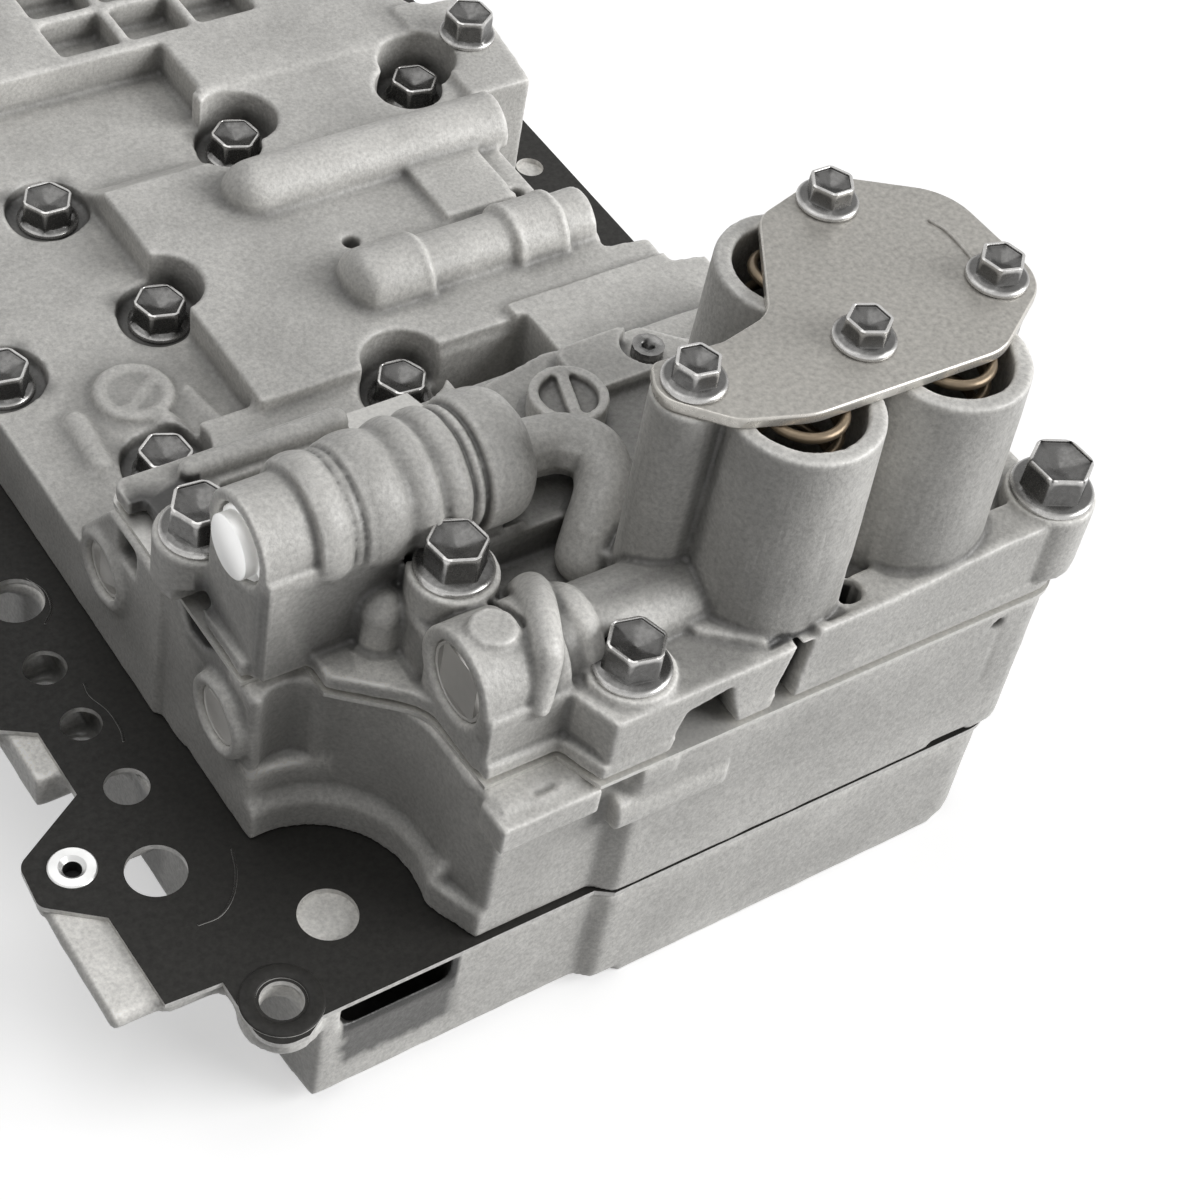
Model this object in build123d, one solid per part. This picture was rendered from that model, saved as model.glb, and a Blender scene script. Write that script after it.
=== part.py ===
"""Hydraulic valve body of an automatic transmission: three cast bodies on two separator plates,
three accumulators under a common cover, four spool valves, and the bolts that hold the stack.

Working frame: X to the right, Y to the rear, Z up, with zero on the top of the lower separator
plate under the front left foot of the middle body. Each piece is moved at the end so that the
origin is the bottom centre of the whole. Millimetres.
"""

from build123d import *
from math import cos, pi, radians, sin, tan
import os

os.makedirs("parts", exist_ok=True)

# Heights of the stack
lower_height = 33.5
lip_height = 3.0
lower_plate_thickness = 1.5
middle_height = 46.5
upper_plate_thickness = 1.2
flange_height = 5.0
deck_height = 18.3
tower_height = 71.3
cover_thickness = 3.0

# Common edges of the castings
front = -4.2
jog = 30.0
jog_run = 4.0
left = -35.0
right = 154.5
rear = 318.0
rear_right = 165.0
corner_radius = 10.5

# Surfaces of the low rear part of the middle body, above the lower plate
rear_floor = 22.0
pocket_depth = 4.0
shelf = 28.0
plateau = 32.0
strip = 34.0
rear_block = 34.5
raised_pad = 2.5

# Flange bolts
shank_radius = 3.0
shank_clearance = 0.3
thread_clearance = 0.04
thread_engagement = 14.0
tip_room = 3.0
washer_thickness = 1.6
seat_room = 0.7

# Bolt heads: width across flats, height of the hexagon, radius of the flange under it
small_head = (9.4, 4.8, 7.2)
middle_head = (12.0, 6.4, 8.0)
large_head = (12.4, 7.5, 9.0)
ear_head = (14.0, 8.0, 10.0)

# Fits
running_clearance = 0.03
plug_clearance = 0.02
keeper_clearance = 0.1
spring_clearance = 0.2

# Numbers of flats that stand in for a round, which keeps the whole light
round_flats = 16
pocket_flats = 20
dowel_flats = 10
shank_flats = 8
washer_flats = 12
tower_flats = 36
column_flats = 20
piston_flats = 14
elbow_flats = 8

# Spool valves
upper_plug = 8.7
large_plug = 9.4
small_plug = 7.3
rear_spool = 7.0
front_spool = 6.0
spool_travel = 6.0
plug_recess = 1.4
plug_length = 8.0
keeper_thickness = 1.6
keeper_overlap = 2.5
keeper_width = 8.0
spring_closed = 12.0
spring_length = spring_closed + spool_travel
spring_turns = 3
spring_wire = 1.4
spool_land = 8.0
spool_waist = 12.0
waist_share = 0.55
bore_end_room = 0.5

# Accumulators
tower_radius = 17.5
tower_draft = 1.8
piston_radius = 13.4
piston_height = 14.0
piston_wall = 2.4
accumulator_floor = 12.0
accumulator_wire = 2.4
accumulator_turns = 4

# Tower centres (x, y)
towers = [(75.0, 18.0), (114.5, 17.0), (98.9, 55.0)]

# Bolt places (x, y)
cover_bolt_places = [(55.0, 31.5), (96.0, 26.5), (136.0, 30.0), (116.0, 66.3)]
cover_bolt_length = 28.0
long_bolt_places = [(-27.5, 85.5), (10.3, 43.5), (33.5, 7.7)]
long_bolt_rises = [-2.8, 8.5, 1.7]
boss_radius = 10.2
socket_radius = 7.9
ear_bolt_place = (148.6, 5.0)
ear_rise = 7.0
ear_radius = 10.7
ear_bolt_depth = 20.0
column_radius = 8.6
pocket_bolt_places = [
    (68.3, 242.1),
    (10.4, 238.0),
    (18.6, 190.6),
    (-27.3, 185.4),
    (126.5, 244.0),
    (-4.8, 142.4),
    (60.7, 140.7),
]
block_bolt_place = (144.0, 246.0)
pocket_radius = 11.0
screw_place = (92.5, 87.9)
screw_radius = 4.0

# Dowel pins between the castings
upper_dowels = [(-8.0, 75.0), (135.0, 100.0)]
lower_dowels = [(-20.0, 75.0), (140.0, 200.0)]
dowel_radius = 4.0
dowel_length = 12.0

# Holes and fittings of the lower plate and the flange under it
ear_hole = (-47.0, 6.0)
ear_hole_radius = 5.0
ear_ring_radius = 9.6
ear_depth = 5.5
bush_place = (-71.0, 58.0)
bush_radius = 5.6
bush_bore_radius = 2.2
bush_rise = 0.6
flange_thickness = 4.0
plate_holes = [
    (-55.0, 49.0, 7.1),
    (-50.0, 73.0, 5.3),
    (-51.0, 94.0, 4.9),
    (-51.0, 113.0, 5.2),
    (-48.0, 135.0, 7.0),
    (-27.0, 21.0, 7.0),
    (156.0, 223.0, 4.0),
]

# Scallop at the front left of the middle body
scallop_x = -30.0
scallop_y = 22.0
scallop_radius = 27.3

# Levels that follow from the heights
middle_top = middle_height
upper_base = middle_top + upper_plate_thickness
flange_top = upper_base + flange_height
deck = upper_base + deck_height
ear_top = deck + ear_rise
rim = upper_base + tower_height
cover_top = rim + cover_thickness
lower_top = -lower_plate_thickness
lower_bottom = lower_top - lower_height
lip_bottom = lower_bottom - lip_height
pocket_floor = rear_floor - pocket_depth
middle_bolt_places = pocket_bolt_places + [block_bolt_place]
long_bolt_seats = [deck + rise for rise in long_bolt_rises]


def flat_sided(radius, sides):
    """A regular polygon that stands in for a circle."""
    return RegularPolygon(radius, round(sides))


class Bore:
    """A blind spool bore along X that opens to the left: its axis, its mouth and its contents.

    Distances run inward from the mouth. Behind the plug comes the spring, then the spool,
    which rests against the end of the bore and travels toward the plug.
    """

    def __init__(self, name, y, z, mouth, plug_radius, spool_radius, keeper_from):
        self.name = name
        self.y = y
        self.z = z
        self.mouth = mouth
        self.plug_radius = plug_radius
        self.spool_radius = spool_radius
        self.keeper_from = keeper_from
        self.plug_start = plug_recess
        self.plug_end = plug_recess + plug_length
        self.spool_start = self.plug_end + spring_length
        self.spool_end = self.spool_start + 2 * spool_land + spool_waist
        self.depth = self.spool_end + bore_end_room

    def rod(self, radius, start, end):
        """A cylinder on the axis between two distances in from the mouth."""
        return extrude(self.across(start) * Circle(radius), end - start)

    def across(self, distance):
        """The plane across the axis at a distance in from the mouth, facing inward."""
        return Plane(origin=(self.mouth + distance, self.y, self.z), x_dir=(0, 1, 0), z_dir=(1, 0, 0))

    def held(self, radius, start, end):
        """A round part that the bore holds, drawn with flats to keep it light."""
        return extrude(self.across(start) * flat_sided(radius, round_flats), end - start)

    def hollow(self):
        """What the casting loses: the bore, the plug's wider mouth and the keeper's slot."""
        space = self.held(self.spool_radius + running_clearance, 0, self.depth)
        space += self.rod(self.plug_radius + plug_clearance, -3, self.plug_end)
        return space + self.keeper(keeper_clearance)

    def keeper(self, clearance):
        """The flat keeper that holds the plug, or its slot, up to the face it is fitted from."""
        middle = self.mouth + self.plug_start + plug_length / 2
        reach = self.plug_radius - keeper_overlap
        inner = self.z + reach if self.keeper_from > self.z else self.z - reach
        half = keeper_thickness / 2 + clearance
        width = keeper_width / 2 + clearance
        low = min(inner, self.keeper_from)
        high = max(inner, self.keeper_from)
        return block(middle - half, middle + half, self.y - width, self.y + width, low, high)


# The upper pair's keepers are fitted from below, the middle pair's from above
bore_a = Bore("a", 64.5, upper_base + 33.1, -31.0, upper_plug, rear_spool, upper_base)
bore_b = Bore("b", 22.5, upper_base + 17.3, -1.6, large_plug, front_spool, upper_base)
bore_c = Bore("c", 114.0, 26.0, left - 1.5, small_plug, small_plug, 0)
bore_d = Bore("d", 60.5, 31.0, left - 1.0, small_plug, small_plug, middle_top)
bores = [bore_a, bore_b, bore_c, bore_d]

# Rings of the two upper housings: distance in from the mouth to start and end, and the radius
rings_a = [(0, 13, 12.2), (13, 20, 14.4), (20, 24, 12.6), (24, 49.5, 14.8), (49.5, 54, 13.2), (54, 68, 15.6)]
rings_b = [(0, 14, 12.9), (14, 16, 10.6), (16, 22, 12.9), (22, 58, 11.0)]
foot_half_width = 11.2
elbow_radius = 5.8


def outline(corners):
    """A closed face through corners (x, y, radius), each rounded by an arc tangent to its sides."""
    count = len(corners)
    ends = []
    for index in range(count):
        x, y, radius = corners[index]
        point = Vector(x, y)
        before = (Vector(*corners[index - 1][:2]) - point).normalized()
        after = (Vector(*corners[(index + 1) % count][:2]) - point).normalized()
        if radius == 0:
            ends.append((point, None, point))
            continue
        half = radians(before.get_angle(after)) / 2
        cut = radius / tan(half)
        to_arc = radius / sin(half) - radius
        middle = point + (before + after).normalized() * to_arc
        ends.append((point + before * cut, middle, point + after * cut))
    edges = []
    for index in range(count):
        start, middle, end = ends[index]
        if middle is not None:
            edges.append(ThreePointArc(start, middle, end))
        edges.append(Line(end, ends[(index + 1) % count][0]))
    return make_face(Wire(edges))


def slab(corners, low, high, draft=0):
    """A prism on an outline between two levels."""
    return extrude(Pos(0, 0, low) * outline(corners), high - low, taper=draft)


def post(x, y, radius, low, high):
    """An upright cylinder between two levels."""
    return extrude(Pos(x, y, low) * Circle(radius), high - low)


def drum(x, y, radius, low, high):
    """An upright round boss or rough cast hole, drawn with flats to keep it light."""
    return extrude(Pos(x, y, low) * flat_sided(radius, pocket_flats), high - low)


def block(x0, x1, y0, y1, z0, z1):
    """A box between two values on each axis."""
    centre = ((x0 + x1) / 2, (y0 + y1) / 2, (z0 + z1) / 2)
    return Pos(*centre) * Box(x1 - x0, y1 - y0, z1 - z0)


def pad(x0, x1, y0, y1, z0, z1, radius=0):
    """A box whose upright edges may be rounded."""
    corners = [(x0, y0, radius), (x1, y0, radius), (x1, y1, radius), (x0, y1, radius)]
    return slab(corners, z0, z1)


def ringed_housing(bore, rings, foot):
    """A bore's housing: one turned body of stepped rings, on an upright foot."""
    outline_points = [(0, 0)]
    for start, end, radius in rings:
        outline_points += [(radius, start), (radius, end)]
    outline_points.append((0, rings[-1][1]))
    turned = revolve(make_face(Polyline(outline_points, close=True)), Axis.Y)
    laid = Location(Plane(origin=(bore.mouth, bore.y, bore.z), x_dir=(0, 1, 0), z_dir=(0, 0, -1)))
    body = laid * turned
    end = bore.mouth + rings[-1][1] - 1
    return body + block(bore.mouth, end, bore.y - foot_half_width, bore.y + foot_half_width, foot, bore.z)


def wedge(points, x0, x1):
    """A prism along X on a profile of (y, z) points."""
    profile = make_face(Polyline([(x0, y, z) for y, z in points], close=True))
    return extrude(profile, x1 - x0, dir=(1, 0, 0))


def front_prism(points, y0, y1):
    """A prism along Y on a profile of (x, z) points."""
    profile = make_face(Polyline([(x, y0, z) for x, z in points], close=True))
    return extrude(profile, y1 - y0, dir=(0, 1, 0))


def shank(x, y, low, high, clearance=0):
    """A bolt's shank or its hole."""
    return extrude(Pos(x, y, low) * flat_sided(shank_radius + clearance, shank_flats), high - low)


def shank_holes(places, low, high, clearance):
    """Holes for bolt shanks between two levels."""
    return [shank(x, y, low, high, clearance) for x, y in places]


def dowel_holes(places, low, high):
    """Holes for dowel pins between two levels."""
    return [dowel(x, y, low, high, plug_clearance) for x, y in places]


def dowel(x, y, low, high, clearance=0):
    """A dowel pin or its hole."""
    return extrude(Pos(x, y, low) * flat_sided(dowel_radius + clearance, dowel_flats), high - low)


# Outlines of the castings and plates


def lower_outline():
    side = right - 5
    return [
        (-41, -1, 0),
        (jog, -1, 0),
        (jog + jog_run, front, 0),
        (side, front, corner_radius),
        (side, 122, 0),
        (rear_right, 150, 0),
        (rear_right, rear + 2, 8),
        (-44, rear + 2, 8),
        (-44, 40, 0),
    ]


def flange_outline(grow):
    """The dark plate's outline; the casting's flange under it is a little smaller."""
    side = right - 3.5 + grow
    edge = rear_right + 1 + grow
    back = rear + 4 + grow
    return [
        (-41, -1.5 - grow, 0),
        (jog, -1.5 - grow, 0),
        (jog + jog_run, front - grow, 0),
        (side, front - grow, corner_radius),
        (side, 120, 0),
        (edge, 148, 0),
        (edge, back, 8),
        (-72 - grow, back, 8),
        (-72 - grow, 103, 0),
        (-61 - grow, 96, 0),
        (-61 - grow, 76, 0),
        (-81 - grow, 64, 4),
        (-82 - grow, 52, 3),
        (-70 - grow, 42.5, 0),
        (-69.5 - grow, 16.8 - grow, 0),
        (-56 - grow, 16 - grow, 0),
        (-56 - grow, -4.5 - grow, 7),
        (-46, -4.5 - grow, 0),
    ]


def middle_front_outline():
    """The high front part of the middle body, with the round scallop at its left corner."""
    inner = scallop_x + scallop_radius
    top = scallop_y + scallop_radius
    return [
        (0, 0, 0),
        (jog - 1, 0, 0),
        (jog + jog_run, front, 0),
        (right, front, corner_radius),
        (right, 128, 0),
        (left, 128, 0),
        (left, 89, 0),
        (-33.5, 88, 0),
        (-33.5, 80, 0),
        (scallop_x - 3, 76, 0),
        (scallop_x - 3, top, 0),
        (inner, top, scallop_radius - 0.5),
        (inner, 12, 0),
    ]


def middle_rear_outline():
    """The low rear part of the middle body, with the steps of its right side."""
    return [
        (left, 100, 0),
        (right - 1, 100, 0),
        (right - 1, 140, 0),
        (144, 142, 0),
        (145, 154, 0),
        (132, 156, 0),
        (135, 170, 0),
        (127.5, 180, 0),
        (127.5, 204, 0),
        (131, 222, 0),
        (150.5, 222, 0),
        (156, 262, 0),
        (140, 264, 0),
        (137, 270, 0),
        (137, rear, 6),
        (left, rear, 6),
    ]


def upper_outline():
    """The foot of the upper body and the plate under it."""
    return [
        (left + 2, 116, 3),
        (left + 2, 55, 0),
        (-18.3, 55, 0),
        (-18.3, 44.5, 0),
        (-1.6, 30, 12),
        (-0.8, 7, 0),
        (17.5, 7, 0),
        (21.5, front, 0),
        (right + 0.5, front, corner_radius),
        (right + 0.5, 100, 0),
        (49, 100, 0),
        (45, 116, 0),
    ]


# Castings


def lower_body():
    """The bottom casting: a deep block, a thin flange to its left, a pad, an ear and a lip."""
    flange_low = lower_top - flange_thickness
    body = slab(lower_outline(), lower_bottom, lower_top)
    body += slab(flange_outline(-0.6), flange_low, lower_top)
    body += pad(-81, -60, 18.5, 50, flange_low, lower_top)
    body += pad(-67, -44, 84, 128, lower_top - 10, lower_top)
    body += post(*ear_hole, ear_ring_radius, lower_top - ear_depth, flange_low)
    lip = [
        (-32, 1, 0),
        (jog + 6, 1, 0),
        (jog + 12, front + 0.5, 0),
        (right - 10, front + 0.5, 6),
        (right - 10, 118, 0),
        (rear_right - 6, 156, 0),
        (rear_right - 6, rear - 4, 6),
        (-38, rear - 4, 6),
        (-38, 44, 0),
    ]
    body += slab(lip, lip_bottom, lower_bottom)
    cuts = [block(-35, -7, -6, 9, lower_top - 9, lower_top - 0.5)]
    corner_pocket = [(-9, lower_top - 1), (-2, lower_top - 1), (-9, lower_top - 8)]
    cuts.append(wedge(corner_pocket, right - 22, right - 12))
    cuts.append(pad(-62, -45.5, 42, 57, flange_low - 1, lower_top + 1))
    cuts.append(pad(-55.5, -45.5, 66, 142, lower_top - 8, lower_top + 1))
    cuts.append(post(*ear_hole, ear_hole_radius, lower_top - ear_depth - 1, lower_top + 1))
    cuts.append(post(*bush_place, bush_radius, flange_low - 1, lower_top + 1))
    depth = thread_engagement + tip_room
    cuts += shank_holes(long_bolt_places, lower_top - depth, lower_top + 1, thread_clearance)
    cuts += shank_holes(middle_bolt_places, lower_top - depth, lower_top + 1, thread_clearance)
    cuts += dowel_holes(lower_dowels, -dowel_length / 2, lower_top + 1)
    return body - cuts


def lower_plate():
    """The dark separator plate with its round holes."""
    body = slab(flange_outline(0), lower_top, 0)
    cuts = [drum(x, y, radius, lower_top - 1, 1) for x, y, radius in plate_holes]
    cuts.append(post(*ear_hole, ear_hole_radius, lower_top - 1, 1))
    cuts.append(post(*bush_place, bush_radius, lower_top - 1, 1))
    cuts += shank_holes(long_bolt_places + middle_bolt_places, lower_top - 1, 1, shank_clearance)
    cuts += dowel_holes(lower_dowels, lower_top - 1, 1)
    return body - cuts


def middle_front():
    """The high front block, whose rear face slopes down to the low part."""
    outer = slab(middle_front_outline(), 0, middle_top)
    profile = [(-10, 0), (-10, middle_top), (113, middle_top), (127, shelf), (130, 0)]
    body = outer & wedge(profile, left - 5, right + 5)
    body += bore_d.rod(small_plug + 2.6, 0, 8)
    body += pad(-3, 22.5, -4.4, 5, middle_top - 9, middle_top - 1)
    rib = [(-1, 27), (-1, 37), (front, 36), (front - 1.2, 33), (front - 1.2, 29), (front, 27)]
    body += wedge(rib, jog + jog_run - 6, jog + 28)
    return body


def middle_rear():
    """The low rear part: floor, shelf, plateau, strip, block, bore housings and pads."""
    low = slab(middle_rear_outline(), 0, rear_floor)
    tall = slab(middle_rear_outline(), 0, plateau + 20)
    steps = pad(2, right + 5, 110, 146, 0, shelf)
    steps += pad(21, right + 10, 142, 228, 0, plateau)
    slope = [(220, 0), (220, plateau), (227, plateau), (240, rear_floor), (240, 0)]
    steps += wedge(slope, 21, 64)
    steps += pad(62, right + 10, 220, 256, 0, plateau)
    steps += pad(64, right + 10, 254, rear + 20, 0, plateau + 1)
    steps += pad(left - 10, 72, 278, rear + 20, 0, plateau + 1)
    steps += pad(94, right + 10, 118, 146, 0, strip)
    steps += pad(131, right + 10, 222, 266, 0, rear_block)
    steps += pad(98, 120, 181, 204, 0, plateau + raised_pad)
    body = low + (tall & steps)
    middle = plateau + 0.5
    body += block_bulge(57, 131, 211.5, middle, 9)
    body += block_bulge(65, 79, 168, middle, 10)
    body += block_bulge(79, 108, 168, middle, 8.5)
    body += block_bulge(108, 120, 168, middle, 10)
    body += block_bulge(120, 132, 168, middle, 8.5)
    body += bore_c.rod(small_plug + 2.2, 0, 40)
    body += drum(-1, 166, 8.5, rear_floor - 1, rear_floor + 1.5)
    return body


def block_bulge(x0, x1, y, z, radius):
    """A half round bore housing along X on the plateau."""
    across = Plane(origin=(x0, y, z), x_dir=(0, 1, 0), z_dir=(1, 0, 0))
    half = Circle(radius) - Pos(0, -radius - 2) * Rectangle(2 * radius + 2, 2 * radius)
    return extrude(across * half, x1 - x0)


def middle_body():
    """The long middle casting: high at the front, low at the rear, with two spool bores."""
    body = middle_front() + middle_rear()
    cuts = []
    for x, y in pocket_bolt_places:
        cuts.append(drum(x, y, pocket_radius, pocket_floor, middle_top - 3))
    cuts += shank_holes(pocket_bolt_places, -1, pocket_floor + 1, shank_clearance)
    cuts.append(shank(*block_bolt_place, -1, rear_block + 1, shank_clearance))
    cuts += shank_holes(long_bolt_places, -1, middle_top + 1, shank_clearance)
    ear_hole_end = middle_top - ear_bolt_depth - tip_room
    cuts.append(shank(*ear_bolt_place, ear_hole_end, middle_top + 1, thread_clearance))
    cuts += [bore_c.hollow(), bore_d.hollow()]
    cuts += dowel_holes(upper_dowels, middle_top - dowel_length / 2, middle_top + 1)
    cuts += dowel_holes(lower_dowels, -1, dowel_length / 2)
    cuts.append(pad(70, 97, 123, 141, -1, shelf + 20))
    cuts.append(pad(left - 1, left + 6, 100, 109, 36, middle_top - 2))
    for x, y in [(122, 184), (71, 185)]:
        cuts.append(extrude(Pos(x, y, plateau - 8) * flat_sided(2.6, shank_flats), 12))
    for column in range(3):
        x = 36 + 21 * column
        cuts.append(pad(x, x + 18, 282, 297, plateau - 8, plateau + 2))
        cuts.append(pad(x, x + 18, 300, rear - 4, plateau - 8, plateau + 2))
    cuts.append(block(-2, 6, -3, 4, 34, 40))
    return body - cuts


def upper_plate():
    """The thin bright plate between the middle and the upper body."""
    body = slab(upper_outline(), middle_top, upper_base)
    places = long_bolt_places + [ear_bolt_place]
    cuts = shank_holes(places, middle_top - 1, upper_base + 1, shank_clearance)
    cuts += dowel_holes(upper_dowels, middle_top - 1, upper_base + 1)
    return body - cuts


def tower(x, y):
    """One accumulator tower, wider at its foot."""
    foot = Pos(x, y, upper_base + 2) * flat_sided(tower_radius + tower_draft, tower_flats)
    mouth = Pos(x, y, rim) * flat_sided(tower_radius, tower_flats)
    return loft([foot, mouth])


def elbow():
    """The curved pipe between the end of the upper housing and the deck in front of it."""
    bend = [(50, 66, deck + 8), (57, 58, deck + 8.5), (54, 49, deck + 5)]
    path = Polyline((35, 67, deck + 7), *bend, (47, 44, deck))
    section = Plane(origin=path @ 0, z_dir=path % 0) * flat_sided(elbow_radius, elbow_flats)
    return sweep(section, path=path, transition=Transition.RIGHT)


def upper_body():
    """The top casting: foot, deck, two ringed housings, three towers and the bolt bosses."""
    deck_outline = [
        (-0.8, 8.5, 0),
        (19, 8.5, 0),
        (23, front + 0.5, 0),
        (right, front + 0.5, corner_radius),
        (right, 84, 0),
        (106, 88, 0),
        (97, 97, 0),
        (70, 99, 0),
        (52, 96, 0),
        (40, 80, 0),
        (0, 80, 0),
    ]
    body = slab(upper_outline(), upper_base, flange_top)
    body += slab(deck_outline, upper_base, deck)
    body -= pad(22, 54, 35, 52.5, deck - 9, deck + 1)
    body += ringed_housing(bore_a, rings_a, upper_base)
    body += ringed_housing(bore_b, rings_b, upper_base)
    body += elbow()
    body += drum(7, 23, 5.4, bore_b.z, bore_b.z + 13.6)
    for x, y in towers:
        body += tower(x, y)
    for x, y in cover_bolt_places:
        body += extrude(Pos(x, y, deck - 10) * flat_sided(column_radius, column_flats), rim - deck + 10)
    for (x, y), seat in zip(long_bolt_places, long_bolt_seats):
        body += drum(x, y, boss_radius, upper_base, seat)
    x, y = ear_bolt_place
    rise = [(60, upper_base), (60, deck), (x - 22, ear_top - 1.2), (x, ear_top - 1.2), (x, upper_base)]
    body += front_prism(rise, front + 0.5, y + 2)
    body += post(x, y, ear_radius, flange_top, ear_top)
    body += drum(63.1, 78.6, 9.5, upper_base, deck + 8)
    body += pad(70, 92, 80, 96, deck - 1, deck + 4, 4)
    body += block(-17, 40, 108, 114, upper_base, flange_top + 1)
    cuts = []
    for x, y in towers:
        cuts.append(post(x, y, piston_radius + running_clearance, upper_base + accumulator_floor, rim + 1))
    depth = cover_bolt_length - cover_thickness + tip_room
    cuts += shank_holes(cover_bolt_places, rim - depth, rim + 1, thread_clearance)
    cuts += shank_holes(long_bolt_places, upper_base - 1, max(long_bolt_seats) + 1, shank_clearance)
    cuts.append(shank(*ear_bolt_place, upper_base - 1, ear_top + 1, shank_clearance))
    cuts += [bore_a.hollow(), bore_b.hollow()]
    spot_face = large_head[2] + seat_room
    for (x, y), seat in zip(long_bolt_places, long_bolt_seats):
        cuts.append(drum(x, y, spot_face, seat, seat + washer_thickness + seat_room))
        cuts.append(drum(x, y, socket_radius, seat, rim))
    cuts.append(drum(*ear_bolt_place, ear_head[2] + seat_room, ear_top, rim))
    x, y = screw_place
    cuts.append(drum(x, y, screw_radius + 3, deck, deck + 10))
    cuts.append(shank(x, y, deck - 12, deck, -0.9))
    cuts += dowel_holes(upper_dowels, upper_base - 1, upper_base + dowel_length / 2)
    window = [(42.4, 59.8), (53.9, 61.9), (58.1, upper_base - 1), (39, upper_base - 1)]
    cuts.append(front_prism(window, front - 2, 4))
    slanted = [(70.4, 66.6), (75.1, 67), (72.7, upper_base - 1), (66.2, upper_base - 1)]
    cuts.append(front_prism(slanted, front - 2, -0.5))
    cuts.append(pad(-12, 30, 84, 105, upper_base + 2, deck))
    return body - cuts


# Fasteners and fittings


def flange_bolt(x, y, head, seat, length):
    """A bolt with a hexagon head on a round flange, its seat at a level and its shank below."""
    flats, height, flange = head
    body = extrude(Pos(x, y, seat) * flat_sided(flange, washer_flats), washer_thickness)
    hexagon = RegularPolygon(flats / 2, 6, major_radius=False)
    body += extrude(Pos(x, y, seat + washer_thickness) * hexagon, height)
    return body + shank(x, y, seat - length, seat)


def cover_bolts():
    """Four bolts that hold the cover on the columns between the towers."""
    return [flange_bolt(x, y, small_head, cover_top, cover_bolt_length) for x, y in cover_bolt_places]


def upper_body_bolts():
    """Three long bolts from the upper body down into the lower one, and one into the middle body."""
    tip = lower_top - thread_engagement
    bolts = []
    for (x, y), seat in zip(long_bolt_places, long_bolt_seats):
        bolts.append(flange_bolt(x, y, large_head, seat, seat - tip))
    length = ear_top - middle_top + ear_bolt_depth
    return bolts + [flange_bolt(*ear_bolt_place, ear_head, ear_top, length)]


def middle_body_bolts():
    """Seven bolts from the pockets of the middle body, and one from its block, into the lower one."""
    tip = lower_top - thread_engagement
    length = pocket_floor - tip
    bolts = [flange_bolt(x, y, middle_head, pocket_floor, length) for x, y in pocket_bolt_places]
    return bolts + [flange_bolt(*block_bolt_place, middle_head, rear_block, rear_block - tip)]


def pocket_bolt():
    """The small socket screw in a pocket behind the rear tower."""
    x, y = screw_place
    head = extrude(Pos(x, y, deck) * flat_sided(screw_radius, washer_flats), 3.5)
    head -= extrude(Pos(x, y, deck + 1.5) * RegularPolygon(2.0, 6), 3)
    return head + shank(x, y, deck - 10, deck, -1)


def bush():
    """The bright locating bush pressed into the front left tab."""
    x, y = bush_place
    low = lower_top - flange_thickness
    ring = Circle(bush_radius) - flat_sided(bush_bore_radius, shank_flats)
    return extrude(Pos(x, y, low) * ring, bush_rise - low)


def dowel_pins():
    """Pins that line up the castings through the two plates."""
    half = dowel_length / 2
    pins = [dowel(x, y, middle_top - half, upper_base + half - 1) for x, y in upper_dowels]
    return pins + [dowel(x, y, -half + 0.5, half) for x, y in lower_dowels]


# Accumulators


def cover():
    """The lobed flat cover on the three towers."""
    lobes = [
        (50, 40, 3),
        (45, 31, 7),
        (57, 18, 9),
        (73, 12.5, 20),
        (123, 11, 14),
        (146, 25, 12),
        (145, 58, 16),
        (121, 75, 11),
        (99, 69, 9),
        (82, 42, 9),
        (68, 39, 6),
    ]
    body = slab(lobes, rim, cover_top)
    return body - shank_holes(cover_bolt_places, rim - 1, cover_top + 1, shank_clearance)


def piston(x, y):
    """A cup that stands on the floor of its tower, open upward for the spring."""
    low = upper_base + accumulator_floor
    wall = flat_sided(piston_radius, piston_flats) - flat_sided(piston_radius - piston_wall, piston_flats)
    body = extrude(Pos(x, y, low) * wall, piston_height)
    return body + extrude(Pos(x, y, low) * flat_sided(piston_radius, piston_flats), piston_wall)


def coil(radius, wire, turns, height, sides):
    """A spring of square wire along +Z from zero, its turns drawn with a number of straight sides."""
    rise = height - wire
    count = round(turns * sides)
    points = []
    for step in range(count + 1):
        angle = 2 * pi * step / sides
        points.append((radius * cos(angle), radius * sin(angle), wire / 2 + rise * step / count))
    path = Polyline(*points)
    section = Plane(origin=path @ 0, x_dir=(0, 0, 1), z_dir=path % 0) * Rectangle(wire, wire)
    return sweep(section, path=path, transition=Transition.RIGHT)


def accumulator_spring(x, y):
    """The spring between a piston's floor and the cover."""
    low = upper_base + accumulator_floor + piston_wall + spring_clearance
    radius = piston_radius - piston_wall - accumulator_wire
    height = rim - low - spring_clearance
    return Pos(x, y, low) * coil(radius, accumulator_wire, accumulator_turns, height, 7)


# Spool valves


def spool(bore):
    """Two lands on a thinner waist."""
    first = bore.spool_start + spool_land
    second = bore.spool_end - spool_land
    body = bore.held(bore.spool_radius, bore.spool_start, first)
    body += bore.held(bore.spool_radius, second, bore.spool_end)
    return body + bore.held(bore.spool_radius * waist_share, first, second)


def plug(bore):
    """The plug at the bore's mouth, notched for its keeper."""
    body = bore.held(bore.plug_radius, bore.plug_start, bore.plug_end)
    return body - bore.keeper(keeper_clearance)


def spool_spring(bore):
    """The spring between the plug and the spool."""
    radius = bore.spool_radius - spring_wire - 0.6
    length = spring_length - 2 * spring_clearance
    turned = Rot(0, 90, 0) * coil(radius, spring_wire, spring_turns, length, 6)
    return Pos(bore.mouth + bore.plug_end + spring_clearance, bore.y, bore.z) * turned


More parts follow.
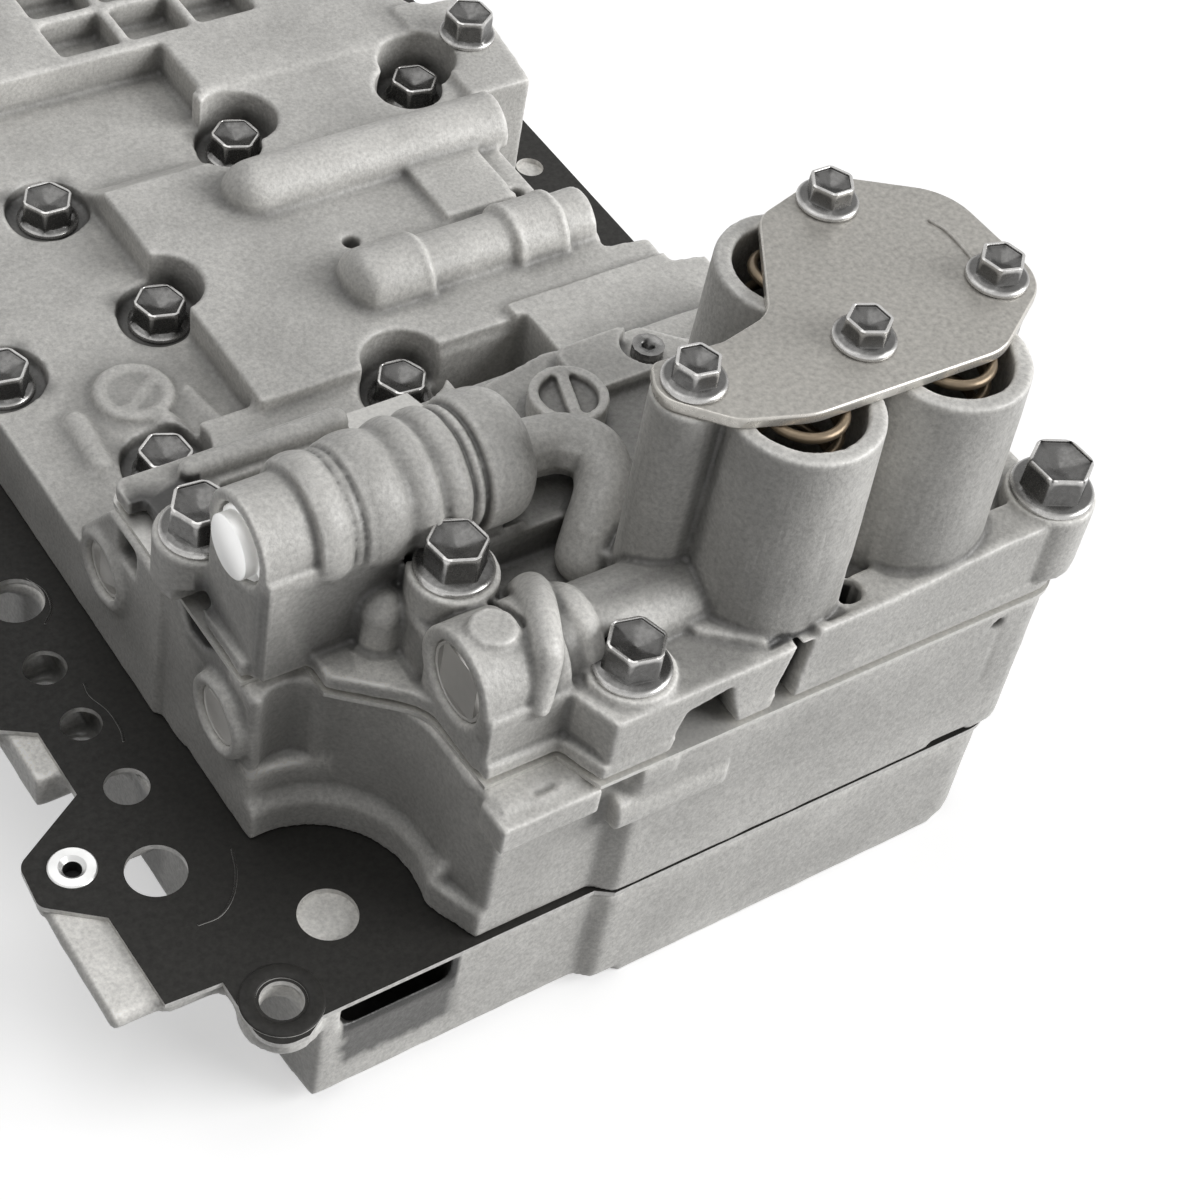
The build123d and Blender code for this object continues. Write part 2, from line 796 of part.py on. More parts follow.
pieces = {
    "lower_body": lower_body(),
    "lower_separator_plate": lower_plate(),
    "locating_bush": bush(),
    "middle_body": middle_body(),
    "upper_separator_plate": upper_plate(),
    "upper_body": upper_body(),
    "accumulator_cover": cover(),
    "cover_bolts": Compound(cover_bolts()),
    "upper_body_bolts": Compound(upper_body_bolts()),
    "middle_body_bolts": Compound(middle_body_bolts()),
    "pocket_bolt": pocket_bolt(),
    "dowel_pins": Compound(dowel_pins()),
}
for number, (x, y) in enumerate(towers, 1):
    pieces["accumulator_piston_%d" % number] = piston(x, y)
    pieces["accumulator_spring_%d" % number] = accumulator_spring(x, y)
for bore in bores:
    pieces["spool_" + bore.name] = spool(bore)
    pieces["spool_spring_" + bore.name] = spool_spring(bore)
    pieces["bore_plug_" + bore.name] = plug(bore)
    pieces["plug_keeper_" + bore.name] = bore.keeper(0)

# The origin goes to the bottom centre of the whole
whole = Compound(list(pieces.values())).bounding_box()
shift = Pos(-whole.center().X, -whole.center().Y, -whole.min.Z)
for name, shape in pieces.items():
    export_step(shift * shape, "parts/%s.step" % name)
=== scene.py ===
"""Transmission valve body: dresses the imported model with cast, turned and plated surfaces.

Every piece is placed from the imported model. Places on the castings are written in datum
millimetres: X to the right, Y to the rear, Z up, with zero on top of the lower separator plate.
"""

import math

import bmesh
import bpy
import numpy as np
from bpy.props import FloatProperty, FloatVectorProperty, IntProperty, PointerProperty
from mathutils import Matrix, Vector


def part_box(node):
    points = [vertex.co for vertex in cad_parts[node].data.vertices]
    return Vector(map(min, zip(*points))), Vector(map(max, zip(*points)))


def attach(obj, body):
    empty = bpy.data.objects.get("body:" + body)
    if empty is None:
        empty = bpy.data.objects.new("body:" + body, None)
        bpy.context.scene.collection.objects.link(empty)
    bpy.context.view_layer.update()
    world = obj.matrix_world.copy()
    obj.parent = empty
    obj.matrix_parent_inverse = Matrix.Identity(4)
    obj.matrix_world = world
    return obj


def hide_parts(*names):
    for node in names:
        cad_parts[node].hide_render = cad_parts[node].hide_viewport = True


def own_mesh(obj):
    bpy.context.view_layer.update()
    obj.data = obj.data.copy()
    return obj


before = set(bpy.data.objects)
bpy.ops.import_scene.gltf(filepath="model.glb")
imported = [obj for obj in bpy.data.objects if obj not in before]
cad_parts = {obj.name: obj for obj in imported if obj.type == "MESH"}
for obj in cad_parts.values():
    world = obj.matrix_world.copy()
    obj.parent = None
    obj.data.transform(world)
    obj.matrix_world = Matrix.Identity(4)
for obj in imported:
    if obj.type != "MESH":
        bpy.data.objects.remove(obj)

bl_info = {
    "name": "Valve body dressing",
    "version": (1, 0, 0),
    "blender": (4, 5, 0),
    "location": "3D View > Sidebar > Valve body",
    "description": "Builds the visible pieces of a transmission valve body on its packed model",
    "category": "Object",
}

MM = 0.001
BODY = "valve_stack"
LETTERS = "abcd"

# Where the locating bush stands in datum millimetres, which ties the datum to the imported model
BUSH_X, BUSH_Y = -71.0, 58.0

# Levels of the castings, in datum millimetres
MIDDLE_TOP = 46.5
UPPER_BASE = 47.7
DECK = 66.0
RIM = 119.0
POCKET_FLOOR = 18.0
REAR_FLOOR = 22.0
PLATEAU = 32.0

# Places on the castings: X and Y, of long bolts and the ear with the level of the seat
TOWERS = [(75.0, 18.0), (114.5, 17.0), (98.9, 55.0)]
COLUMNS = [(55.0, 31.5), (96.0, 26.5), (136.0, 30.0), (116.0, 66.3)]
POCKETS = [
    (68.3, 242.1), (10.4, 238.0), (18.6, 190.6), (-27.3, 185.4), (126.5, 244.0), (-4.8, 142.4),
    (60.7, 140.7),
]
LONG_BOLTS = [(-27.5, 85.5, 63.2), (10.3, 43.5, 74.5), (33.5, 7.7, 67.7)]
EAR = (148.6, 5.0, 73.0)
# How far a pocket's front wall leans out for each millimetre of height
POCKET_LEAN = np.array((-0.60, -0.66))
# Y and Z of the two upper bores
BORE_A = (64.5, 80.8)
BORE_B = (22.5, 65.0)
# Corners of the cover with their radii, and embossed lines on the lower plate
COVER_CORNERS = [
    (50, 40, 3), (45, 31, 7), (57, 18, 9), (73, 12.5, 20), (123, 11, 14), (146, 25, 12), (145, 58, 16),
    (121, 75, 11), (99, 69, 9), (82, 42, 9), (68, 39, 6),
]
PLATE_LINES = [
    [(-42.4, 140.3), (-40.3, 134.9), (-41.5, 129.1), (-44.9, 125.4)],
    [(-45.0, 104.5), (-45.4, 100.6), (-43.7, 94.7), (-43.7, 88.6), (-44.7, 85.1)],
    [(-37.3, 46.4), (-39.7, 40.1), (-43.6, 34.7), (-48.3, 31.7), (-53.5, 31.7)],
]
EAR_HOLE = (-47.0, 6.0)
# Holes in the lower plate with their radii; the first ones go on into the casting below
DEEP_HOLES = 5
PLATE_HOLES = [
    (-55.0, 49.0, 7.1), (-50.0, 73.0, 5.3), (-51.0, 94.0, 4.9), (-51.0, 113.0, 5.2), (-48.0, 135.0, 7.0),
    (-27.0, 21.0, 7.0), (156.0, 223.0, 4.0), (*EAR_HOLE, 5.0), (BUSH_X, BUSH_Y, 5.6),
]
# Boxes of painted shade (above nought) and painted light (below nought) on the upper, middle and lower
# castings: x, y and z from and to, how much, and the fade's width
UPPER_SHADED = [
    (-34, 24, 46, 57, 48, 78, 0.42, 3.0),
    (-70, 140, -10, 130, 46, 48.55, 0.8, 0.4),
    (36, 60, -1.8, 30, 44, 63.5, 0.95, 0.8),
    (64, 77, -1.8, 20, 44, 68.5, 0.95, 0.8),
    (84.5, 93.5, -0.5, 8.5, 40, 67, 0.9, 0.8),
    (-33.5, -15, 70, 84, 46, 58, 0.9, 0.8),
    (-33.0, -15, 90, 110, 46, 56, 0.9, 0.8),
    (-20, 3, 36, 49.5, 52, 57, -0.55, 1.0),
    (20, 66, 48, 62, 48, 71, 0.45, 4.0),
]
# Painted shade in the bolt pockets and along the left side, and painted light on the floor of the left
# recess
MIDDLE_SHADED = [(x - 12, x + 12, y - 12, y + 12, 10, 27, 0.72, 4.0) for x, y in POCKETS] + [
    (-33.5, -15, 60, 90, 36, 50, 0.9, 1.0),
    (-34, -14, 43, 54, 18, 22.5, -0.5, 0.8),
    (-50, -10, 30, 56, 21, 50, 0.22, 5.0),
]
# Painted shade in the recess under the lower plate and down the deep holes
LOWER_SHADED = [
    (-35, -5, -1.5, 28, -26, -2.8, 0.97, 0.6),
    (-34.5, -6, -7, 2, -11.1, -2.5, 0.95, 0.5),
] + [(x - radius - 2, x + radius + 2, y - radius - 2, y + radius + 2, -60, -3.2, 0.6, 1.0)
     for x, y, radius in PLATE_HOLES[:DEEP_HOLES]]
# Datum levels of the machined top faces of the lower casting
LOWER_MACHINED = (-1.5,)

LARGE_SKIN = 190000
SMALL_SKIN = 110000
# Depth of the slow waves of a cast skin, in metres
UNEVEN = 0.0001
# Points nearer than this are one, in metres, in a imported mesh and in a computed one
PACKED_DOUBLE = 1e-6
GRID_DOUBLE = 2e-7


def middle_of(node):
    """The centre of a node's box, in metres."""
    low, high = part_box(node)
    return (np.array(low) + np.array(high)) / 2


def datum_origin():
    """The datum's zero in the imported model's frame, in metres."""
    bush = middle_of("locating_bush")
    plate_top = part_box("lower_separator_plate")[1][2]
    return np.array((bush[0] - BUSH_X * MM, bush[1] - BUSH_Y * MM, plate_top))


ZERO = datum_origin()


def at(x, y, z):
    """A datum place in millimetres as a place in metres."""
    return ZERO + np.array((x, y, z)) * MM


def round_piece(node, axis, across):
    """From a node's box: the foot on an axis in metres, and the radius and the length in millimetres."""
    low, high = (np.array(corner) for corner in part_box(node))
    foot = (low + high) / 2
    foot[axis] = low[axis]
    return foot, (high - low)[across] / 2 / MM, (high - low)[axis] / MM


# Sizes and colours that a user would change


def length(name, description, default):
    """A length property in metres."""
    return FloatProperty(name=name, description=description, default=default, unit="LENGTH", precision=5)


def colour(name, description, default):
    """A colour property, in linear light."""
    return FloatVectorProperty(name=name, description=description, default=default, subtype="COLOR", size=3)


def amount(name, description, default, most=1.0):
    """A plain value from nought to a most."""
    return FloatProperty(name=name, description=description, default=default, min=0, max=most)


def steps_of(name, description, default, least):
    """A number of steps with its least value."""
    return IntProperty(name=name, description=description, default=default, min=least)


class CastingSettings(bpy.types.PropertyGroup):
    fine: length("Fine skin", "Step of the skin of the upper casting", 0.0006)
    medium: length("Medium skin", "Step of the skin of the middle casting", 0.0008)
    coarse: length("Coarse skin", "Step of the skin of the lower casting", 0.0011)
    metal: colour("Cast metal", "Colour of the cast aluminium", (0.58, 0.57, 0.545))
    grain: length("Grain", "Size of the grains of the cast skin", 0.0011)
    relief: length("Relief", "Depth of the cast skin", 0.00014)


class SheetSettings(bpy.types.PropertyGroup):
    dark: colour("Dark sheet", "Colour of the lower separator plate", (0.028, 0.027, 0.025))
    bright: colour("Bright sheet", "Colour of the upper separator plate", (0.72, 0.71, 0.68))
    cover_edge: length("Cover edge", "Rounding of the edge of the cover", 0.0007)
    zinc: colour("Zinc", "Colour of the cover", (0.42, 0.405, 0.375))


class BoltSettings(bpy.types.PropertyGroup):
    dish: length("Dish", "Depth of the dish in a bolt's head", 0.0027)
    rim: length("Rim", "Width of the flat rim round the dish", 0.0007)
    steel: colour("Dark steel", "Colour of the bolts", (0.13, 0.128, 0.125))
    around: steps_of("Steps around", "Steps round a bolt", 96, 24)


class SpringSettings(bpy.types.PropertyGroup):
    wire: colour("Wire", "Colour of the springs", (0.22, 0.17, 0.115))
    steps: steps_of("Steps a turn", "Steps along one turn of a spring", 40, 12)


class StageSettings(bpy.types.PropertyGroup):
    lens: FloatProperty(name="Lens", description="Focal length", default=80.617, unit="CAMERA")
    key: amount("Key light", "Strength of the main light", 2.7, most=100)
    top: amount("Top light", "Strength of the light from above", 0.85, most=100)
    ambient: amount("Ambient", "Strength of the light from all round", 0.10, most=100)
    floor: amount("Floor", "Lightness of the floor as the object sees it", 0.2)


# Surfaces, each a grid of points in metres whose rows run along the shape


def unit(rows):
    """Rows scaled to a length of one."""
    return rows / np.linalg.norm(rows, axis=-1, keepdims=True)


def circles(first, second, around):
    """Unit circles across rows of two axes: the cosine of an angle on one, the sine on the other."""
    angle = np.linspace(0, 2 * math.pi, around + 1)[None, :, None]
    angle[:, -1] = 0
    return np.cos(angle) * first[:, None] + np.sin(angle) * second[:, None]


def loop(*points):
    """A profile that ends where it began."""
    return [*points, points[0]]


def to_axis(local, centre, axis):
    """Points drawn about +Z, turned to an axis and moved to a centre."""
    turn = np.array(Vector((0, 0, 1)).rotation_difference(Vector(axis)).to_matrix())
    return local @ turn.T + np.asarray(centre)


def turned(profile, centre, axis=(0, 0, 1), around=96, first=0.0, last=360.0):
    """A surface of revolution: radius and height in millimetres, carried round an axis in equal steps.

    A part turn is closed at both ends by fans to the middle of the profile.
    """
    profile = np.array(profile, dtype=float) * MM
    angle = np.radians(np.linspace(first, last, around + 1))
    whole = last - first >= 360
    if whole:
        angle[-1] = angle[0]
    radius, height = profile[:, :1], profile[:, 1:]
    local = np.stack([radius * np.cos(angle), radius * np.sin(angle), height + 0 * angle], axis=-1)
    if not whole:
        middle = local.mean(axis=0, keepdims=True)
        ends = np.repeat(middle[:, [0, -1]], len(profile), axis=0)
        local = np.concatenate([ends[:, :1], local, ends[:, 1:]], axis=1)
    return to_axis(local, centre, axis)


def about_x(profile, y, z, **turn):
    """A surface of revolution about a bore's axis: radius and datum X, in millimetres."""
    return turned(profile, at(0, y, z), (1, 0, 0), **turn)


def band(x, halves, y, z):
    """A ring about a bore's axis, alike on both sides of a datum X: radii and half widths."""
    left = [(radius, x - half) for radius, half in halves]
    right = [(radius, x + half) for radius, half in reversed(halves)]
    return about_x(loop(*left, *right), y, z)


def drum(x, y, radius, low, high):
    """An upright cylinder between two levels, in datum millimetres."""
    return turned([(0, low), (radius, low), (radius, high), (0, high)], at(x, y, 0))


def ball(centre, radii, rows=24):
    """An ellipsoid: the cosine and sine of two angles, stretched along each axis."""
    rise = np.linspace(-math.pi / 2, math.pi / 2, rows)[:, None]
    turn = np.linspace(0, 2 * math.pi, 2 * rows + 1)[None, :]
    turn[:, -1] = 0
    across = np.cos(rise)
    across[[0, -1]] = 0
    skin = np.stack([across * np.cos(turn), across * np.sin(turn), np.sin(rise) + 0 * turn], axis=-1)
    return at(*centre) + skin * np.array(radii) * MM


def prism(outline, start, end, axis="z", far=None):
    """A closed prism: the start's middle, the outline at the start and at the end, and the end's middle.

    The outline lies across the axis, and may be another one at the far end.
    """
    near = np.array(outline, dtype=float)
    far = near if far is None else np.array(far, dtype=float)
    rings = []
    for ring, level in ((near, start), (far, end)):
        closed = np.concatenate([ring, ring[:1]])
        middle = np.repeat(ring.mean(axis=0)[None, :], len(closed), axis=0)
        rows = (middle, closed) if not rings else (closed, middle)
        rings += [np.column_stack([row, np.full(len(closed), level)]) for row in rows]
    order = {"x": (2, 0, 1), "y": (0, 2, 1), "z": (0, 1, 2)}[axis]
    return ZERO + np.array(rings)[:, :, order] * MM


def box(x0, x1, y0, y1, z0, z1):
    """A box between two values on each axis."""
    return prism([(x0, y0), (x1, y0), (x1, y1), (x0, y1)], z0, z1)


def arc(centre, radius, first, last, steps=16):
    """Points along an arc between two angles in degrees."""
    angle = np.radians(np.linspace(first, last, steps + 1))
    return np.array(centre) + radius * np.column_stack([np.cos(angle), np.sin(angle)])


def stadium(start, end, radius):
    """The outline of a bar with round ends between two places."""
    run = np.degrees(math.atan2(end[1] - start[1], end[0] - start[0]))
    return np.concatenate([arc(end, radius, run - 90, run + 90), arc(start, radius, run + 90, run + 270)])


def smooth_path(points, steps=8):
    """A path through points: on each span the cubic whose slopes are half the step between neighbours."""
    knots = np.array(points, dtype=float)
    knots = np.concatenate([2 * knots[:1] - knots[1:2], knots, 2 * knots[-1:] - knots[-2:-1]])
    share = np.linspace(0, 1, steps, endpoint=False)[None, :, None]
    a, b, c, d = (knots[k:len(knots) - 3 + k, None] for k in range(4))
    spans = b + share / 2 * (c - a + share * (2 * a - 5 * b + 4 * c - d + share * (3 * (b - c) + d - a)))
    return np.concatenate([spans.reshape(-1, knots.shape[1]), knots[-2:-1]])


def tube(points, radius, steps=8, around=28, bows=6):
    """A round bar along a smooth path with half-ball ends, in datum millimetres.

    Each row is a circle across the path. The radius may be one number or one for each point.
    """
    path = smooth_path(points, steps)
    radii = smooth_path(np.broadcast_to(radius, len(points))[:, None], steps)[:, 0]
    along = unit(np.gradient(path, axis=0))
    rise = np.radians(np.linspace(90, 0, bows))
    bow, flat = np.sin(rise)[:, None], np.cos(rise)
    flat[0] = 0
    path = np.concatenate([
        path[0] - along[0] * bow * radii[0], path[1:-1], path[-1] + along[-1] * bow[::-1] * radii[-1],
    ])
    radii = np.concatenate([flat * radii[0], radii[1:-1], flat[::-1] * radii[-1]])
    first, last = (np.repeat(end, bows, axis=0) for end in (along[:1], along[-1:]))
    along = np.concatenate([first, along[1:-1], last])
    reference = np.eye(3)[np.argmin(np.abs(along).max(axis=0))]
    side = unit(np.cross(along, reference))
    ring = circles(side, np.cross(side, along), around)
    return ZERO + (path[:, None] + radii[:, None, None] * ring) * MM


def rounded_outline(corners, steps=12):
    """An outline whose corners (x, y, radius) are arcs, each centred on the line that halves its corner."""
    place = np.array([corner[:2] for corner in corners], dtype=float)
    rings = []
    for k, (x, y, radius) in enumerate(corners):
        before, after = (unit(place[n] - place[k]) for n in (k - 1, (k + 1) % len(place)))
        half = math.acos(np.clip(before @ after, -1, 1)) / 2
        centre = place[k] + unit(before + after) * radius / math.sin(half)
        start, end = (place[k] + side * radius / math.tan(half) - centre for side in (before, after))
        share = np.linspace(0, 1, steps)[:, None]
        sweep = math.pi - 2 * half
        ring = (np.sin((1 - share) * sweep) * start + np.sin(share * sweep) * end) / math.sin(sweep)
        rings.append(centre + ring)
    return np.concatenate(rings)


def sheet_grid(outline, middle, low, high, edge):
    """A flat sheet with rounded edges: rows from the middle below, round the rim, to the middle above.

    The rim's rows lie on a quarter circle of the edge's radius, drawn in along the outline's own normals.
    """
    ring = np.concatenate([outline, outline[:1]])
    along = unit(np.roll(outline, -1, axis=0) - np.roll(outline, 1, axis=0))
    out = np.column_stack([along[:, 1], -along[:, 0]])
    out = np.concatenate([out, out[:1]])
    turn = np.radians(np.linspace(0, 90, 5))
    drawn = np.concatenate([1 - np.sin(turn), 1 - np.cos(turn)]) * edge
    level = np.concatenate([low + edge * (1 - np.cos(turn)), high - edge * (1 - np.sin(turn))])
    rows = [
        np.column_stack([ring - out * inset, np.full(len(ring), height)])
        for inset, height in zip(drawn, level)
    ]
    ends = [np.broadcast_to((*middle, height), rows[0].shape) for height in (low, high)]
    return ZERO + np.array([ends[0], *rows, ends[1]]) * MM


def helix(radius, wire, tall, turns, steps, centre, axis=(0, 0, 1), around=12):
    """A round wire along a helix whose end turns lie flat, in millimetres.

    The pitch is nought over the first and last half turn, and even between them.
    """
    turn = np.linspace(0, turns, int(turns * steps) + 1)
    climb = wire / 2 + np.clip((turn - 0.5) / (turns - 1), 0, 1) * (tall - wire)
    angle = 2 * math.pi * turn
    outward = np.stack([np.cos(angle), np.sin(angle), 0 * angle], axis=-1)
    path = radius * outward
    path[:, 2] = climb
    across = unit(np.cross(unit(np.gradient(path, axis=0)), outward))
    coil = path[:, None] + wire / 2 * circles(outward, across, around)
    first, last = (np.repeat(end[:, None], around + 1, axis=1) for end in (path[:1], path[-1:]))
    return to_axis(np.concatenate([first, coil, last]) * MM, centre, axis)


# Meshes


def grid_mesh(grid):
    """A mesh through a grid of points, one row after the other."""
    rows, columns = grid.shape[:2]
    index = np.arange(rows * columns, dtype=np.int32).reshape(rows, columns)
    corners = (index[:-1, :-1], index[:-1, 1:], index[1:, 1:], index[1:, :-1])
    quads = np.stack(corners, axis=-1).reshape(-1, 4)
    mesh = bpy.data.meshes.new("grid")
    mesh.vertices.add(rows * columns)
    mesh.vertices.foreach_set("co", np.ascontiguousarray(grid, dtype=np.float32).ravel())
    mesh.loops.add(quads.size)
    mesh.loops.foreach_set("vertex_index", quads.ravel())
    mesh.polygons.add(len(quads))
    mesh.polygons.foreach_set("loop_start", np.arange(0, quads.size, 4, dtype=np.int32))
    mesh.update(calc_edges=True)
    return mesh


def joined(meshes):
    """One mesh from several."""
    whole = bmesh.new()
    for mesh in meshes:
        whole.from_mesh(mesh)
        bpy.data.meshes.remove(mesh)
    mesh = bpy.data.meshes.new("whole")
    whole.to_mesh(mesh)
    whole.free()
    return mesh


def solid_of(grids):
    """One mesh from several closed surfaces, each with its doubles merged and its faces outward."""
    meshes = []
    for grid in grids:
        part = bmesh.new()
        mesh = grid_mesh(grid)
        part.from_mesh(mesh)
        bmesh.ops.remove_doubles(part, verts=part.verts, dist=GRID_DOUBLE)
        bmesh.ops.dissolve_degenerate(part, edges=part.edges, dist=1e-8)
        bmesh.ops.recalc_face_normals(part, faces=part.faces)
        part.to_mesh(mesh)
        part.free()
        meshes.append(mesh)
    return joined(meshes)


def merged_copy(node):
    """A copy of a node's mesh with its loose triangles merged."""
    copy = bmesh.new()
    copy.from_mesh(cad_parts[node].data)
    bmesh.ops.remove_doubles(copy, verts=copy.verts, dist=PACKED_DOUBLE)
    mesh = bpy.data.meshes.new(node)
    copy.to_mesh(mesh)
    copy.free()
    return mesh


def applied(mesh, modifiers):
    """A mesh after a row of modifiers, each a kind with its settings."""
    holder = bpy.data.objects.new("holder", mesh)
    bpy.context.scene.collection.objects.link(holder)
    for kind, settings in modifiers:
        modifier = holder.modifiers.new(kind, kind)
        for name, value in settings.items():
            setattr(modifier, name, value)
    graph = bpy.context.evaluated_depsgraph_get()
    result = bpy.data.meshes.new_from_object(holder.evaluated_get(graph), depsgraph=graph)
    bpy.data.objects.remove(holder)
    bpy.data.meshes.remove(mesh)
    return result


def carved(mesh, removed):
    """A mesh less a row of closed surfaces."""
    tool = bpy.data.objects.new("tool", solid_of(removed))
    bpy.context.scene.collection.objects.link(tool)
    cut = {"operation": "DIFFERENCE", "solver": "EXACT", "use_self": True, "object": tool}
    result = applied(mesh, [("BOOLEAN", cut)])
    tool_mesh = tool.data
    bpy.data.objects.remove(tool)
    bpy.data.meshes.remove(tool_mesh)
    return result


def read(rows, name, kind=np.float32, width=3):
    """A field of all vertices, edges or faces as an array, one row for each."""
    found = np.empty(len(rows) * width, dtype=kind)
    rows.foreach_get(name, found)
    return found.reshape(-1, width)


def store(mesh, name, value):
    """Keeps a value for each vertex, for a material to read."""
    kept = mesh.attributes.new(name, "FLOAT", "POINT")
    kept.data.foreach_set("value", value.astype(np.float32))


def moved(mesh, place):
    """Puts a mesh's vertices in new places."""
    mesh.vertices.foreach_set("co", place.ravel())
    mesh.update()


def mark_edges(mesh):
    """Stores as "edge" and "hollow" how far the surface bends outward (above nought) or inward.

    Along a mesh edge the bend is the change of the normal over the length, and one stands for a radius
    of one millimetre. A vertex takes the mean of its edges, evened with its neighbours three times for
    the fine bend and thirty times for the broad one, which is then made four times stronger.
    """
    count = len(mesh.vertices)
    place, normal = read(mesh.vertices, "co"), read(mesh.vertex_normals, "vector")
    a, b = read(mesh.edges, "vertices", np.int32, 2).T
    step = place[b] - place[a]
    bend = ((normal[b] - normal[a]) * step).sum(axis=1) / np.maximum((step ** 2).sum(axis=1), 1e-12)
    degree = np.maximum(np.bincount(a, minlength=count) + np.bincount(b, minlength=count), 1)
    value = (np.bincount(a, bend, count) + np.bincount(b, bend, count)) / degree * MM
    for name, rounds, strength in (("edge", 3, 1.0), ("hollow", 27, 4.0)):
        for _ in range(rounds):
            near = np.bincount(a, value[b], count) + np.bincount(b, value[a], count)
            value = (value + near / degree) / 2
        store(mesh, name, np.clip(value * strength, -1, 1))


def mark_machined(mesh, levels, reach=0.4, level_face=0.9):
    """Stores one on each vertex of a level top face within reach of some datum levels, nought elsewhere."""
    height = (read(mesh.vertices, "co")[:, 2] - ZERO[2]) / MM
    flat = read(mesh.vertex_normals, "vector")[:, 2] > level_face
    store(mesh, "machined", np.any([np.abs(height - level) < reach for level in levels], axis=0) & flat)


def mark_shaded(mesh, regions):
    """Stores as "shaded" how much painted shade (above nought) or painted light (below) each vertex takes,
    from boxes.

    A box (x0, x1, y0, y1, z0, z1, share, margin) acts in full inside its margin and fades to its faces.
    """
    place = (read(mesh.vertices, "co") - ZERO) / MM
    value = np.zeros(len(place))
    for x0, x1, y0, y1, z0, z1, share, margin in regions:
        inside = np.minimum(place - (x0, y0, z0), np.array((x1, y1, z1)) - place) / margin
        part = share * np.clip(inside, 0, 1).prod(axis=1)
        value = np.where(np.abs(part) > np.abs(value), part, value)
    store(mesh, "shaded", value)


def uneven(mesh, depth):
    """Moves a skin in and out by a sum of slow waves, as a casting's surface is never quite flat."""
    place, normal = read(mesh.vertices, "co"), read(mesh.vertex_normals, "vector")
    waves = np.array([(0.45, 0.3, 0.5), (-0.35, 0.55, 0.4), (0.7, -0.5, -0.3), (0.25, 0.8, -0.9)]) / MM
    height = np.sin(place @ waves.T + np.array([0.3, 1.7, 2.9, 4.2])).sum(axis=1) / len(waves)
    place += normal * (depth * height)[:, None]
    moved(mesh, place)


def smooth_by_angle(mesh, degrees):
    """Smooth shading, with edges over an angle kept sharp."""
    mesh.polygons.foreach_set("use_smooth", np.ones(len(mesh.polygons), dtype=bool))
    mesh.set_sharp_from_angle(angle=math.radians(degrees))


def piece(name, mesh, materials, body=BODY, replaced=(), sharp=None):
    """An object for a mesh, with its materials, its body and the nodes it stands for."""
    if sharp:
        smooth_by_angle(mesh, sharp)
    mesh.name = name
    shown = bpy.data.objects.new(name, mesh)
    bpy.context.scene.collection.objects.link(shown)
    chosen = read(mesh.polygons, "material_index", np.int32, 1)[:, 0]
    mesh.materials.clear()
    for finish in materials:
        mesh.materials.append(finish)
    mesh.polygons.foreach_set("material_index", np.minimum(chosen, len(materials) - 1))
    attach(shown, body)
    if replaced:
        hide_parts(*replaced)
    return shown


def cast(node, details, step, most, shaded, machined=()):
    """A casting in one skin: the node's shape with details joined and cut, rebuilt on a fine lattice.

    The lattice rounds every edge as a mould does. The skin is then evened, thinned to a number of faces and
    marked for the material.
    """
    added, removed = details
    mesh = carved(joined([merged_copy(node), solid_of(added)]), removed)
    mesh = applied(mesh, [
        ("REMESH", {"mode": "VOXEL", "voxel_size": step, "adaptivity": 0.0}),
        ("SMOOTH", {"factor": 0.5, "iterations": 5}),
    ])
    triangles = 2 * len(mesh.polygons)
    if triangles > most:
        mesh = applied(mesh, [("DECIMATE", {"ratio": most / triangles})])
    mark_machined(mesh, machined)
    mark_shaded(mesh, shaded)
    uneven(mesh, UNEVEN)
    mark_edges(mesh)
    mesh.polygons.foreach_set("use_smooth", np.ones(len(mesh.polygons), dtype=bool))
    metal = cast_metal(bpy.context.scene.valve_castings)
    return piece(node + "_casting", mesh, [metal], BODY, (node,))


# Materials


def material(name, base, roughness, metallic=0.0, specular=0.5):
    """A new node material with its node tree and its shader."""
    made = bpy.data.materials.new(name)
    made.use_nodes = True
    shader = made.node_tree.nodes["Principled BSDF"]
    shader.inputs["Base Color"].default_value = (*base, 1)
    shader.inputs["Roughness"].default_value = roughness
    shader.inputs["Metallic"].default_value = metallic
    shader.inputs["Specular IOR Level"].default_value = specular
    made.diffuse_color = (*base, 1)
    return made, made.node_tree, shader


def wired(tree, kind, inputs, output=0, **fields):
    """One output of a new node, whose inputs are set to values or linked to other outputs."""
    made = tree.nodes.new("ShaderNode" + kind)
    for name, value in fields.items():
        setattr(made, name, value)
    for name, value in inputs.items():
        if isinstance(value, bpy.types.NodeSocket):
            tree.links.new(value, made.inputs[name])
        else:
            made.inputs[name].default_value = value
    return made.outputs[output]


def noise(tree, size, detail=3.0, roughness=0.55, squash=None):
    """Noise of a feature size in metres on Object coordinates, drawn out along an axis where asked."""
    place = wired(tree, "TexCoord", {}, "Object")
    if squash:
        place = wired(tree, "Mapping", {"Vector": place, "Scale": squash})
    field = {"Vector": place, "Scale": 1 / size, "Detail": detail, "Roughness": roughness}
    return wired(tree, "TexNoise", field, "Fac")


def spread(tree, value, low, high, first=0.3, last=0.7):
    """A value carried from a first and last to a low and a high one."""
    span = {"Value": value, "From Min": first, "From Max": last, "To Min": low, "To Max": high}
    return wired(tree, "MapRange", span, "Result")


def product(tree, first, *others):
    """Values multiplied one after the other."""
    for other in others:
        first = wired(tree, "Math", {0: first, 1: other}, operation="MULTIPLY")
    return first


def scaled(tree, base, level):
    """A colour made darker and lighter by a level."""
    return wired(tree, "VectorMath", {0: base, "Scale": level}, "Vector", operation="SCALE")


def bump(tree, shader, value, depth):
    """Relief on a shader from a value, with its depth in metres."""
    relief = wired(tree, "Bump", {"Height": value, "Distance": depth}, "Normal")
    tree.links.new(relief, shader.inputs["Normal"])


def stored(tree, name):
    """A value that the piece keeps for each vertex."""
    return wired(tree, "Attribute", {}, "Fac", attribute_name=name)


